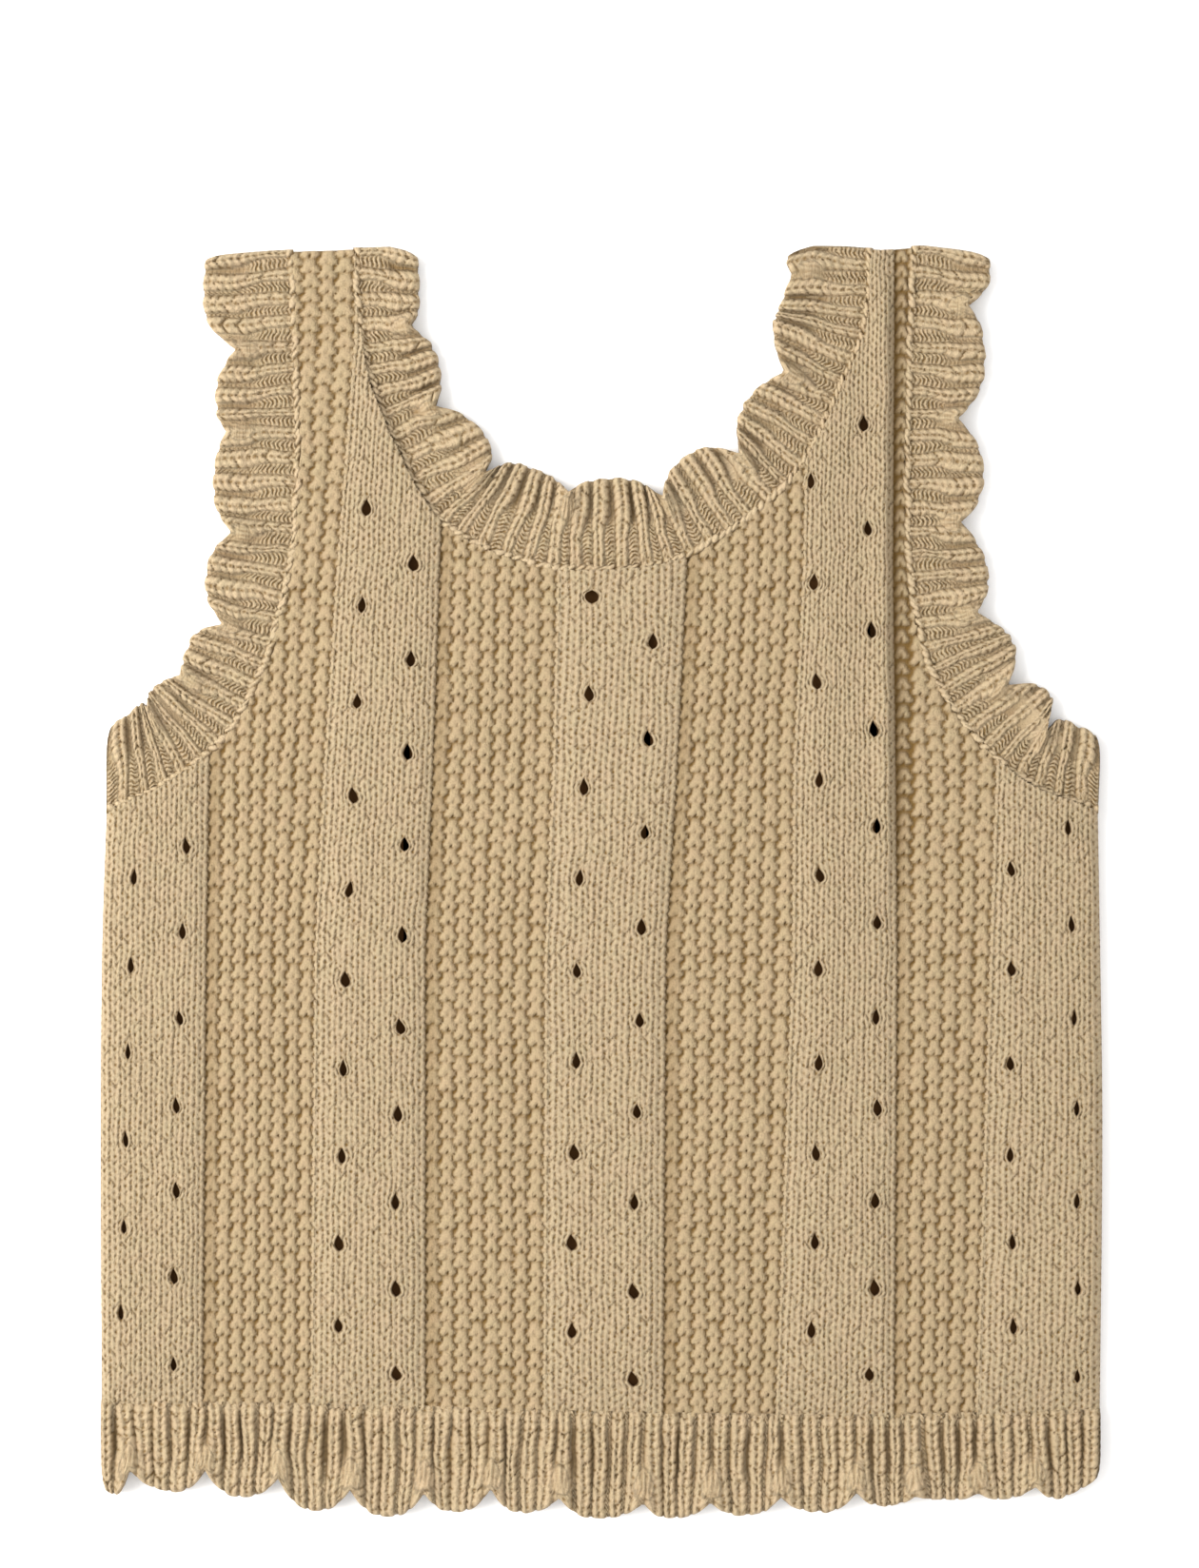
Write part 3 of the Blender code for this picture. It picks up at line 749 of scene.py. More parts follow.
def fill_loops(places, loops):
    """Triangles of the region between the loops: inside the outer one, and outside the ones within it."""
    numbers = np.concatenate(loops)
    order = {number: index for index, number in enumerate(numbers)}
    edges = [(order[loop[i - 1]], order[loop[i]]) for loop in loops for i in range(len(loop))]
    found = delaunay_2d_cdt([tuple(place) for place in places[numbers]], edges, [], 0, 1e-7, True)
    origin = [sources[0] for sources in found[3]]
    corners = [tuple(origin[index] for index in face) for face in found[2]]
    walls = {frozenset(edge) for edge in edges}
    owners = {}
    for face, (a, b, c) in enumerate(corners):
        for edge in ((a, b), (b, c), (c, a)):
            owners.setdefault(frozenset(edge), []).append(face)
    is_inside = {faces[0]: edge in walls for edge, faces in owners.items() if len(faces) == 1}
    waiting = list(is_inside)
    while waiting:
        face = waiting.pop()
        a, b, c = corners[face]
        for edge in map(frozenset, ((a, b), (b, c), (c, a))):
            for other in owners[edge]:
                if other not in is_inside:
                    is_inside[other] = is_inside[face] != (edge in walls)
                    waiting.append(other)
    return numbers[np.array([corner for face, corner in enumerate(corners) if is_inside[face]])]


def area_of(points, quads):
    """Flat area of the quads, in square millimetres."""
    x, y = points[:, 0][quads], points[:, 1][quads]
    return np.abs((x * np.roll(y, -1, axis=1) - y * np.roll(x, -1, axis=1)).sum(axis=1)).sum() / 2


def make_cloth(name, points, quads, inner_heights, materials, floats, stitch, is_front, inner_slot=0):
    """A closed thin shell: the given outer face, a rim down from its open edges, and a plain inner face. With
    an inner slot, the inner face takes that slot's material and the rim's foot takes painted shade.
    """
    quads = without_pinches(quads, len(points))
    loops = edge_loops(open_edges(quads, len(points)))
    edge = np.concatenate(loops)
    below = points[edge].copy()
    below[:, 2] = np.broadcast_to(inner_heights, len(points))[edge]
    lower = np.full(len(points), -1)
    lower[edge] = len(points) + np.arange(len(edge))
    triangles = lower[fill_loops(points[:, :2], loops)][:, ::-1]
    rim = []
    for loop in loops:
        this, following = np.array(loop), np.roll(loop, -1)
        rim.append(np.stack([following, this, lower[this], lower[following]], axis=1))
    rim = np.concatenate(rim)
    used = np.zeros(len(points) + len(edge), bool)
    used[quads] = True
    used[len(points) :] = True
    number = np.cumsum(used) - 1
    everything = np.concatenate([points, below])[used]
    outer = quads if is_front else quads[:, ::-1]
    if not is_front:
        rim, triangles = rim[:, ::-1], triangles[:, ::-1]
    all_quads = np.concatenate([outer, rim])
    values = {key: np.concatenate([value, value[edge]])[used] for key, value in floats.items()}
    # With an inner slot, the rim's lower edge takes the full painted shade of the hollows
    if inner_slot:
        values["hollow_and_shade"][-len(edge) :] = 1.0
    places = np.concatenate([stitch, stitch[edge]])[used]
    thing = new_mesh(
        name,
        everything,
        number[all_quads],
        number[triangles],
        np.zeros(len(all_quads)),
        np.full(len(triangles), inner_slot),
        materials,
        values,
        places,
    )
    return thing, area_of(points, quads)


def eyelet_places(is_front):
    """Where the eyelets lie, as rows of x and y."""
    places = []
    for row in EYELETS:
        share = np.linspace(0.0, 1.0, row.count)
        middle = 4 * share * (1 - share)
        x = row.x_low + (row.x_high - row.x_low) * share + row.bow * middle
        y = row.y_low + (row.y_high - row.y_low) * share - row.sag * middle
        places.append(np.stack([x if is_front else -x, y], axis=1))
    return np.concatenate(places)


class StitchGrid:
    """A band's points in rows and columns that follow its stitches, with slits that open as eyelets."""

    def __init__(self, number, is_front, detail, row_height):
        is_moss = number % 2 == 1
        stitches = BAND_STITCHES if is_front else BAND_STITCHES[::-1]
        per_stitch = detail.moss_columns if is_moss else detail.stockinette_columns
        lap = MOSS_LAP if is_moss else 0
        self.columns = stitches[number] * per_stitch
        step = row_height / detail.rows_per_stitch
        self.y = np.arange(HALF_LENGTH, HEM_SEAM[3].y - step, -step)
        self.left, self.right = band_edges(number, self.y, is_front)
        share = np.arange(-lap, self.columns + lap + 1) / self.columns
        self.share = np.broadcast_to(share, (len(self.y), len(share))).ravel()
        self.x = (self.left[:, None] + (self.right - self.left)[:, None] * share).ravel()
        self.heights = np.repeat(self.y, len(share))
        self.across = self.share * stitches[number]
        self.down = (HALF_LENGTH - self.heights) / row_height
        self.line = np.zeros(len(self.x))
        self.index = np.arange(len(self.x)).reshape(len(self.y), len(share))
        self.right_index = self.index.copy()

    def cut(self, x, y, is_wide):
        """Slits the column nearest to an eyelet's place, and draws the cloth apart on both sides of it."""
        half_height = (WIDE_EYELET_HEIGHT if is_wide else EYELET_HEIGHT) / 2
        half_width = WIDE_EYELET_HALF_WIDTH if is_wide else EYELET_HALF_WIDTH
        rows = np.flatnonzero(np.abs(self.y - y) < half_height)
        middle = rows[len(rows) // 2]
        share = (x - self.left[middle]) / (self.right[middle] - self.left[middle])
        column = int(round(share * self.columns))
        top, bottom = rows[0] - 1, rows[-1] + 1
        inner = self.index[rows, column]
        copies = np.arange(len(self.x), len(self.x) + len(inner))
        for key in ("x", "heights", "share", "across", "down", "line"):
            values = getattr(self, key)
            setattr(self, key, np.concatenate([values, values[inner]]))
        self.right_index[rows, column] = copies
        reach = int(EYELET_REACH / (self.right[middle] - self.left[middle]) * self.columns)
        first, last = max(0, column - reach), min(self.columns, column + reach)
        chance = hashed(np.round(x), np.round(y), 1.0)
        half_width = half_width * (0.85 + 0.3 * chance) * (1 - 0.35 * smooth_step(abs(x), 100.0, 145.0))
        for row in rows:
            fall = (row - top) / (bottom - top)
            bulge, bluntness = (1.0, 0.6) if is_wide else (EYELET_ROUNDNESS, EYELET_BLUNTNESS)
            half = half_width * np.sin(np.pi * fall**bulge) ** bluntness
            lean = EYELET_LEAN * (fall - 0.5) * (2 * chance - 0.4)
            centre = self.x[self.index[row, column]]
            left_side = self.index[row, first : column + 1]
            right_side = self.right_index[row, column : last + 1]
            for indices, way in ((left_side, -1), (right_side, 1)):
                near = np.clip(1 - np.abs(self.x[indices] - centre) / EYELET_REACH, 0, 1)
                self.x[indices] += (way * half + lean) * near
        reach_rows = int(EYELET_LINE / (self.y[0] - self.y[1]))
        for row in range(max(0, top - reach_rows), min(len(self.y), bottom + reach_rows // 2 + 1)):
            fade = 1.0 if top <= row <= bottom else 0.7
            self.line[self.index[row, column]] = fade
            self.line[self.right_index[row, column]] = fade

    def quads(self):
        """Corners of every square of the grid, anticlockwise seen from above."""
        low_left, high_left = self.right_index[1:, :-1], self.right_index[:-1, :-1]
        low_right, high_right = self.index[1:, 1:], self.index[:-1, 1:]
        return np.stack([low_left, low_right, high_right, high_left], axis=-1).reshape(-1, 4)


def fold_share(y):
    """How much of the long fold's full height it has at each height of the garment."""
    return np.clip((y - FOLD_END) / FOLD_FADE, 0, 1) * smooth_step(HALF_LENGTH - y, 2.0, 26.0)


def fold_shadow(x, y):
    """How deep in the fold's crease each place lies, on the side away from the light."""
    across = x - border_at(FOLD_BORDER, y)
    return fold_share(y) * np.exp(-(((across - 0.1) / 1.1) ** 2))


def beside_fold(x, y):
    """The strip of moss stitches right beside the fold, where the bumps part more."""
    across = x - border_at(FOLD_BORDER, y)
    return np.clip((y - FOLD_END) / FOLD_FADE, 0, 1) * np.exp(-(((across - 3.0) / 3.4) ** 4))


def panel_rise(x, y, share, is_moss, settings, is_front):
    """How the bands swell: a stockinette band stands proud and drops faster on its right side."""
    u = np.clip(2 * share - 1, -1, 1)
    dome = 1 - np.abs(u) ** np.where(u < 0, 3.0, 5.0)
    if is_moss:
        rise = 0.35 * (1 - u * u) + 0.6 * smooth_step(2 * share - 1, 0.75, 1.03)
    else:
        rise = settings.band_rise / MM * (0.05 + 0.95 * dome)
    rise = rise * smooth_step(y, HEM_SEAM[2].y, HEM_SEAM[2].y + HEM_FLAT)
    rise = rise + 0.3 * wander(x, y, 24.0, 1.0) + 0.3 * wander(x, y, 57.0, 9.0)
    if is_front:
        across = x - border_at(FOLD_BORDER, y) + FOLD_INSET
        slope = np.where(across < 0, FOLD_WIDTH, FOLD_STEEPNESS * FOLD_WIDTH)
        rise = rise + settings.fold_rise / MM * fold_share(y) * np.exp(-((across / slope) ** 2))
    return rise


def side_drop(x, y):
    """How far the cloth rounds down where it turns to the other side of the garment."""
    left = np.interp(y, LEFT_EDGE[::-1, 1], LEFT_EDGE[::-1, 0])
    right = np.interp(y, RIGHT_EDGE[::-1, 1], RIGHT_EDGE[::-1, 0])
    inset = np.minimum(x - left, right - x)
    u = np.clip(1 - inset / SIDE_ROUND, 0, 1)
    return SIDE_DROP * (1 - np.sqrt(1 - u * u))


def make_band(number, is_front, detail, stitches, materials):
    """One knitted band of a panel, as its own shell, with eyelets if it is stockinette."""
    row_height = stitches.row / MM
    is_moss = number % 2 == 1
    grid = StitchGrid(number, is_front, detail, row_height)
    if not is_moss:
        for x, y in eyelet_places(is_front):
            edges = band_edges(number, np.array([y]), is_front)
            if edges[0][0] < x < edges[1][0]:
                is_wide = is_front and abs(x - WIDE_EYELET.x) + abs(y - WIDE_EYELET.y) < 6.0
                grid.cut(x, y, is_wide)
    places = np.stack([grid.x, grid.heights], axis=1)
    depth = measure_edge(places)
    quads = grid.quads()
    quads = quads[(depth[quads] > 0).all(axis=1)]
    if is_moss:
        relief, scale = moss_relief(grid.across, grid.down), stitches.bump_rise / MM
        if is_front:
            relief = relief ** (1 + 1.4 * beside_fold(grid.x, grid.heights))
    else:
        relief, scale = stockinette_relief(grid.across, grid.down), stitches.leg_rise / MM
    relief = relief * (1 - 0.35 * grid.line)
    x, y = places[:, 0].copy(), places[:, 1].copy()
    seed = 2.0 if is_front else 12.0
    free = np.clip(np.minimum(grid.share, 1 - grid.share) * 12, 0, 1)
    places[:, 0] += free * (0.3 * wander(x, y, 11.0, seed) + 0.3 * wander(x, y, 5.0, seed + 1))
    places[:, 1] += 0.35 * wander(x, y, 13.0, seed + 2) * np.clip(depth / 3, 0, 1) + strap_wave(x, y)
    if is_front:
        fall = 0.15 * smooth_step(1 - np.clip(depth, 0, 3) / 3)
        top = FRONT_TOP - scale + relief * scale + panel_rise(x, y, grid.share, is_moss, stitches, True)
        top -= side_drop(x, y) + fall
        top -= STRAP_DROP * smooth_step(y, HALF_LENGTH - 5.0, HALF_LENGTH) ** 2
        top = np.maximum(top, SIDE_FLOOR)
        inner = FRONT_INSIDE
    else:
        most = 1.2
        top = np.maximum(most * (1 - relief) * 0.6 + 0.25 * (1 - (1 - (2 * grid.share - 1) ** 4)), 0.0)
        top += 0.8 * side_drop(x, y)
        inner = BACK_WALL
    # Painted shade: the low parts of the relief, and the line of each eyelet's column, are darker
    shade = smooth_step(relief, 0.0, 0.6 if is_moss else 0.5) * (1 - 0.6 * grid.line)
    if is_front:
        shade = shade * (1 - 0.7 * fold_shadow(x, y))
        if is_moss:
            shade = shade * (1 - 0.38 * (1 - smooth_step(grid.share, 0.02, 0.14)))
    # Painted shade of the hollow down each eyelet's slit
    hollow_and_shade = np.where(grid.line >= 1.0, 0.35, 0.0)
    side = "front" if is_front else "back"
    name = f"{side}_{'moss' if is_moss else 'stockinette'}_band_{number + 1}"
    return make_cloth(
        name,
        np.column_stack([places, top]),
        quads,
        inner,
        materials,
        {"shade": shade, "hollow_and_shade": hollow_and_shade},
        np.stack([grid.across, grid.down, np.zeros_like(grid.down)], axis=1),
        is_front,
        inner_slot=1,
    )


def edge_depth(along, turns):
    """Depth of a frill's free edge: round lobes that meet in sharp notches."""
    depth = np.zeros_like(along)
    for first, second in zip(turns, turns[1:]):
        here = (along >= first.along) & (along <= second.along)
        u = (along[here] - first.along) / (second.along - first.along)
        if first.is_lobe and second.is_lobe:
            share = u
        elif first.is_lobe:
            share = u**LOBE_ROUNDNESS
        else:
            share = 1 - (1 - u) ** LOBE_ROUNDNESS
        depth[here] = first.depth + (second.depth - first.depth) * share
    return depth


def near_notches(along, turns, width):
    """A soft peak at each notch, the push away from the notches, and how far off the nearest notch lies."""
    peak, push, offset = np.zeros_like(along), np.zeros_like(along), np.full_like(along, FAR_INSIDE)
    for turn in turns:
        if not turn.is_lobe:
            gap = along - turn.along
            peak += np.exp(-((gap / width) ** 2))
            push += gap / width * np.exp(0.5 - 0.5 * (gap / width) ** 2)
            offset = np.where(np.abs(gap) < np.abs(offset), gap, offset)
    return peak, push, offset


def corner_slide(along, length, share):
    """Draws a frill's two outer corners in along its seam, so that they are round."""
    near_start, near_end = np.exp(-along / CORNER_WIDTH), np.exp(-(length - along) / CORNER_WIDTH)
    return CORNER_SLIDE * share**8 * (near_start - near_end)


def frill_relief(rib, down, share, style):
    """A knit rib of V-shaped stitches, then a furrow of short cross strands. Heights are from 0 to 1."""
    number = np.floor(rib)
    side = rib - number
    knit = style.knit_share * (0.88 + 0.24 * hashed(number, 5.0, 1.0))
    knit = knit + style.spread * smooth_step(share, 0.3, 0.7)
    is_knit = side < knit
    across = np.clip(side / knit, 0, 0.999)
    chance = hashed(number, 1.0, 1.0)
    wale = stockinette_relief(number + across, down + 0.5 * chance)
    ridge = np.sqrt(1 - np.abs(2 * across - 1) ** 2.8)
    gap = np.clip((side - knit) / (1 - knit), 0, 1)
    slant = RUNG_SLANT * np.where(chance > 0.5, 1.0, -1.0)
    rung = down * RUNGS_PER_ROW + 0.3 * np.sin(2 * np.pi * (gap + chance)) + slant * (gap - 0.5) + chance
    ladder = 0.5 + 0.5 * np.cos(2 * np.pi * rung)
    hollow_and_shade = np.sin(np.pi * gap) ** 0.8
    place = np.where(is_knit, across, NO_DOT_SHADE)
    return is_knit, ridge, wale, ladder, hollow_and_shade, place, rung


def freedom(along, length):
    """How free each place along a seam is to drift, from 0 at the seam's two ends to 1."""
    return np.clip(np.minimum(along, length - along) / END_REACH, 0, 1)


def gathered(along, share, style, seam, scale):
    """Where the ribs lie along their seam: uneven, bowed, and pulled towards the lobes on their way out."""
    along = along + RIB_DRIFT * style.pitch * wander(along, along, 9.0, 21.0) * freedom(along, seam.length)
    _, push, _ = near_notches(along * scale, style.edge, PUFF_WIDTH)
    pull = style.pulls * push * share**2
    bow = 4 * share * (1 - share)
    sway = (0.8 * wander(along, share * 14.0, 7.0, 6.0) + 0.35 * wander(along, share * 20.0, 3.4, 8.0)) * bow
    return np.clip(along + (pull + sway) * freedom(along, seam.length), 0.0, seam.length)


def furrow_depth(rib, share, is_hem):
    """How far each furrow is sunk, from its seam outwards. Every furrow has its own depth."""
    if is_hem:
        sunk = smooth_step(share, 0.02, 0.25) * (1 - 0.85 * smooth_step(share, 0.5, 0.85))
        return sunk * (0.35 + 0.95 * hashed(np.floor(rib), 9.0, 2.0))
    sunk = smooth_step(share, 0.35, 0.62) * (1 - 0.3 * smooth_step(share, 0.8, 1.0))
    return sunk * (0.55 + 0.9 * hashed(np.floor(rib), 9.0, 2.0))


def picked_up_slots(along, out, row_height):
    """The short gaps between the stitches that are picked up beside the chain."""
    beside = np.abs(np.modf(along / row_height)[0] - 0.5)
    return np.exp(-(((out - SLOT_PLACE) / 0.8) ** 2)) * np.exp(-((beside / 0.17) ** 2))


def seam_start(rib, out, is_knit, is_hem):
    """How the cloth rises beside its seam. At the hem each rib has a round top at its own height."""
    if not is_hem:
        return 0.6 + 0.4 * smooth_step(out, -0.5, 1.5)
    begins = HEM_START + HEM_START_SPREAD * hashed(np.floor(rib), 6.0, 3.0)
    short = np.clip(1 - (out - begins) / HEM_TOP_ROUND, 0, 1)
    return np.where(is_knit, np.sqrt(1 - short**2), 1.0)


def grid_quads(shape, place):
    """The squares of a grid of points, anticlockwise seen from above."""
    index = np.arange(len(place)).reshape(shape)
    quads = np.stack([index[1:, :-1], index[1:, 1:], index[:-1, 1:], index[:-1, :-1]], axis=-1).reshape(-1, 4)
    first = place[quads[0]]
    turn = np.cross(first[1] - first[0], first[2] - first[1])
    return quads[:, ::-1] if turn < 0 else quads


def make_frill(style, is_front, columns, row_step, frills, stitches, material):
    """A frill's shell: ribs that run out from the seam, gather at notches and end in a rounded lobed edge."""
    seam, turns = SEAMS[style.seam], style.edge
    is_hem = style.seam == "hem"
    row_height = stitches.row / MM
    count = round(seam.length / style.pitch)
    rows = int(np.mean([turn.depth for turn in turns]) / row_step)
    rib = np.linspace(0.0, count, count * columns + 1)
    rib, share = np.meshgrid(rib, np.linspace(0.0, 1.0, rows + 1))
    shape = rib.shape
    rib, share = rib.ravel(), share.ravel()
    scale = turns[-1].along / seam.length
    along = gathered(rib / count * seam.length, share, style, seam, scale)
    mark = along * scale
    depth = edge_depth(mark, turns)
    fold, _, offset = near_notches(mark, turns, NOTCH_FOLD_WIDTH)
    puff, _, _ = near_notches(mark, turns, PUFF_WIDTH)
    start_out = HEM_START if is_hem else SEAM_GAP
    down = (start_out + (depth - start_out) * share) / row_height
    is_knit, ridge, wale, ladder, hollow_and_shade, stitch_place, rung = frill_relief(rib, down, share, style)
    lump = 0.25 * wander(along, along, 3.0, 31.0)
    depth = depth + (0.5 * ridge * is_knit + lump) * (1 - puff) - 0.2
    out = start_out + (depth - start_out) * share
    place = seam.point(along + corner_slide(along, seam.length, share)) + seam.way(along) * out[:, None]
    place[:, 1] += strap_wave(place[:, 0], place[:, 1])
    puff = puff * np.exp(-(((share - PUFF_SHARE) / 0.17) ** 2))
    fan = 2 * np.pi * offset / np.maximum(0.8, PUFF_WIDTH * (1.2 - share))
    deepen = furrow_depth(rib, share, is_hem)
    slot = np.zeros_like(out) if is_hem else picked_up_slots(along, out, row_height)

    rise = frills.rib_rise / MM * (0.55 + 0.45 * deepen)
    knit_height = rise * ridge * (0.4 + 0.6 * wale) + (0.8 if is_hem else 0.6) * wale
    purl_height = (0.2 + 1.1 * ladder) * hollow_and_shade * (1 - 0.4 * deepen) - style.furrow * deepen * hollow_and_shade
    raised = np.where(is_knit, knit_height, purl_height)
    strands = 0.42 * np.cos(fan)
    raised = raised * (1 - 0.85 * puff) + puff * (rise * 0.6 + strands + frills.puff_rise / MM)
    raised = raised - 0.6 * slot + 0.22 * wander(place[:, 0], place[:, 1], 1.7, 51.0)
    edge = np.clip((depth - out) / EDGE_ROUND, 0, 1)
    rounding = np.sqrt(np.clip(1 - (1 - edge) ** 2, 0, 1))
    start = seam_start(rib, out, is_knit, is_hem)

    shade_knit = smooth_step(wale, 0.0, 0.6) * (0.5 + 0.5 * ridge)
    if is_hem:
        shade_knit = shade_knit * (1 - style.dark * deepen * (1 - ridge))
    shade_purl = (0.75 + 0.25 * ladder) * (1 - style.dark * deepen * hollow_and_shade**1.5)
    shade = np.where(is_knit, shade_knit, shade_purl)
    shade = shade * (1 - puff) + puff * (0.68 + 0.32 * np.cos(fan))
    shade = np.clip(shade * (1 - 0.75 * slot), 0, 1)

    if is_front:
        inner = FRONT_INSIDE + (LOBE_LIFT + NOTCH_LIFT * fold) * share**2
        base = HEM_BASE if is_hem else FRILL_BASE
        top = inner + 0.35 + (base + raised) * (0.15 + 0.85 * rounding) * (0.45 + 0.55 * start)
        near_top = smooth_step(1 - (HALF_LENGTH - place[:, 1]) / STRAP_TOP_REACH) ** 2
        top -= STRAP_DROP * near_top * smooth_step(place[:, 1], 100.0, 150.0)
        top = np.maximum(top, inner + 0.15)
    else:
        top = np.maximum(0.9 - 0.45 * raised, 0.0) * rounding + 0.8 * (1 - rounding)
        inner = np.full_like(top, 2.0)
    side = "front" if is_front else "back"
    stitch = np.stack([np.where(puff > 0.4, NO_DOT_SHADE, stitch_place), down, rung], axis=1)
    # How strongly the painted shade strokes between the furrow's cross strands show
    rungs = np.where(is_knit, 0.0, hollow_and_shade**0.5 * (1 - 0.3 * deepen) * (1 - puff))
    return make_cloth(
        f"{style.name}_{side}_cloth",
        np.column_stack([place, top]),
        grid_quads(shape, place),
        inner,
        [material],
        {"shade": shade, "hollow_and_shade": np.zeros_like(top), "rungs": rungs},
        stitch,
        is_front,
    )


def chain_relief(across, along):
    """A row of short loops that lean over one another. Across runs from -1 to 1, and along is in loops."""
    number = np.floor(along)
    height = np.zeros_like(across)
    for step in (-1, 0, 1):
        chance = hashed(number + step, 2.0, 5.0)
        lean = CHAIN_LEAN * (0.5 + hashed(number + step, 4.0, 9.0))
        gap = along - number - step - 0.5 + 0.5 * (chance - 0.5) - lean * across
        height = np.maximum(height, strand(gap, across, CHAIN_LOOP, 1.02) * (0.6 + 0.5 * chance))
    return height


def make_chain(style, frills, material):
    """The chain of stitches that the frill is picked up from, which covers its seam."""
    seam = SEAMS[style.seam]
    half = frills.chain_width / MM / 2
    along = np.linspace(0.0, seam.length, int(seam.length / CHAIN_STEP) + 1)
    across = np.linspace(-1.0, 1.0, CHAIN_COLUMNS)
    along, across = np.meshgrid(along, across)
    shape = along.shape
    along, across = along.ravel(), across.ravel()
    wide = 1 + 0.25 * wander(along, along, 4.0, 41.0)
    sway = 0.45 * wander(along, along, 6.0, 42.0)
    place = seam.point(along) + seam.way(along) * (half * across * wide + sway)[:, None]
    place[:, 1] += strap_wave(place[:, 0], place[:, 1])
    relief = chain_relief(across, along / CHAIN_PITCH)
    arch = np.sqrt(np.clip(1 - 0.96 * across**2, 0, 1))
    top = CHAIN_TOP - 0.1 + 0.15 * arch + 1.25 * relief + 0.3 * wander(along, along, 11.0, 4.0)
    top -= STRAP_DROP * smooth_step(1 - (HALF_LENGTH - place[:, 1]) / STRAP_TOP_REACH) ** 2
    shade = smooth_step(relief, 0.05, 0.75)
    stitch = np.stack([np.full_like(along, NO_DOT_SHADE), along / CHAIN_PITCH, np.zeros_like(along)], axis=1)
    thing, _ = make_cloth(
        style.name + "_chain",
        np.column_stack([place, top]),
        grid_quads(shape, place),
        CHAIN_TOP - 0.5,
        [material],
        {"shade": shade, "hollow_and_shade": np.zeros_like(top)},
        stitch,
        True,
    )
    return thing


class Wire:
    """A shader value whose arithmetic adds Math nodes."""

    def __init__(self, finish, socket):
        self.finish = finish
        self.socket = socket

    def __add__(self, other):
        return self.finish.math("ADD", self, other)

    def __radd__(self, other):
        return self.finish.math("ADD", other, self)

    def __sub__(self, other):
        return self.finish.math("SUBTRACT", self, other)

    def __rsub__(self, other):
        return self.finish.math("SUBTRACT", other, self)

    def __mul__(self, other):
        return self.finish.math("MULTIPLY", self, other)

    def __rmul__(self, other):
        return self.finish.math("MULTIPLY", other, self)

    def __truediv__(self, other):
        return self.finish.math("DIVIDE", self, other)

    def __abs__(self):
        return self.finish.math("ABSOLUTE", self)

    def fraction(self):
        """What is left above the whole number."""
        return self.finish.math("FRACT", self)

    def spread(self, low, high):
        """0 below the low value, 1 above the high one."""
        return self.finish.spread(self, low, high)

    def peak(self, width):
        """A soft peak where the value is 0."""
        share = self / width
        return self.finish.math("EXPONENT", -1.0 * (share * share))


class Finish:
    """Builds the nodes of one material."""

    def __init__(self, name):
        self.material = bpy.data.materials.new(name)
        self.material.use_nodes = True
        self.tree = self.material.node_tree
        self.tree.nodes.clear()

    def node(self, kind, settings=None, sockets=None):
        """Adds a node, with its settings first and then the values or links of its sockets."""
        node = self.tree.nodes.new(kind)
        for key, value in (settings or {}).items():
            setattr(node, key, value)
        for key, value in (sockets or {}).items():
            if isinstance(value, Wire):
                self.tree.links.new(value.socket, node.inputs[key])
            else:
                node.inputs[key].default_value = value
        return node

    def read(self, node, output=0):
        """An output of a node, as a value to work on."""
        return Wire(self, node.outputs[output])

    def math(self, operation, *values):
        """One Math node on the given values."""
        return self.read(self.node("ShaderNodeMath", {"operation": operation}, dict(enumerate(values))))

    def attribute(self, name, output):
        """One of the mesh's own values at each point."""
        return self.read(self.node("ShaderNodeAttribute", {"attribute_name": name}), output)

    def split(self, vector):
        """The three parts of a vector."""
        node = self.node("ShaderNodeSeparateXYZ", None, {0: vector})
        return [self.read(node, axis) for axis in range(3)]

    def join(self, x, y, z):
        """A vector of three parts."""
        return self.read(self.node("ShaderNodeCombineXYZ", None, {0: x, 1: y, 2: z}))

    def spread(self, value, low, high):
        """A clamped ramp: 0 at the low value and 1 at the high one."""
        sockets = {"Value": value, "From Min": low, "From Max": high}
        return self.read(self.node("ShaderNodeMapRange", None, sockets))

    def noise(self, place, scale, detail=2.0):
        """Soft noise from 0 to 1 at a place."""
        sockets = {"Vector": place, "Scale": scale, "Detail": detail, "Roughness": 0.55}
        return self.read(self.node("ShaderNodeTexNoise", None, sockets), "Fac")

    def blend(self, factor, first, second):
        """A colour between two colours."""
        sockets = {0: factor, 6: first, 7: second}
        return self.read(self.node("ShaderNodeMix", {"data_type": "RGBA"}, sockets), 2)


def opaque(colour, factor=1.0):
    """The colour times a factor, with full alpha."""
    return tuple(min(1.0, part * factor) for part in colour) + (1.0,)


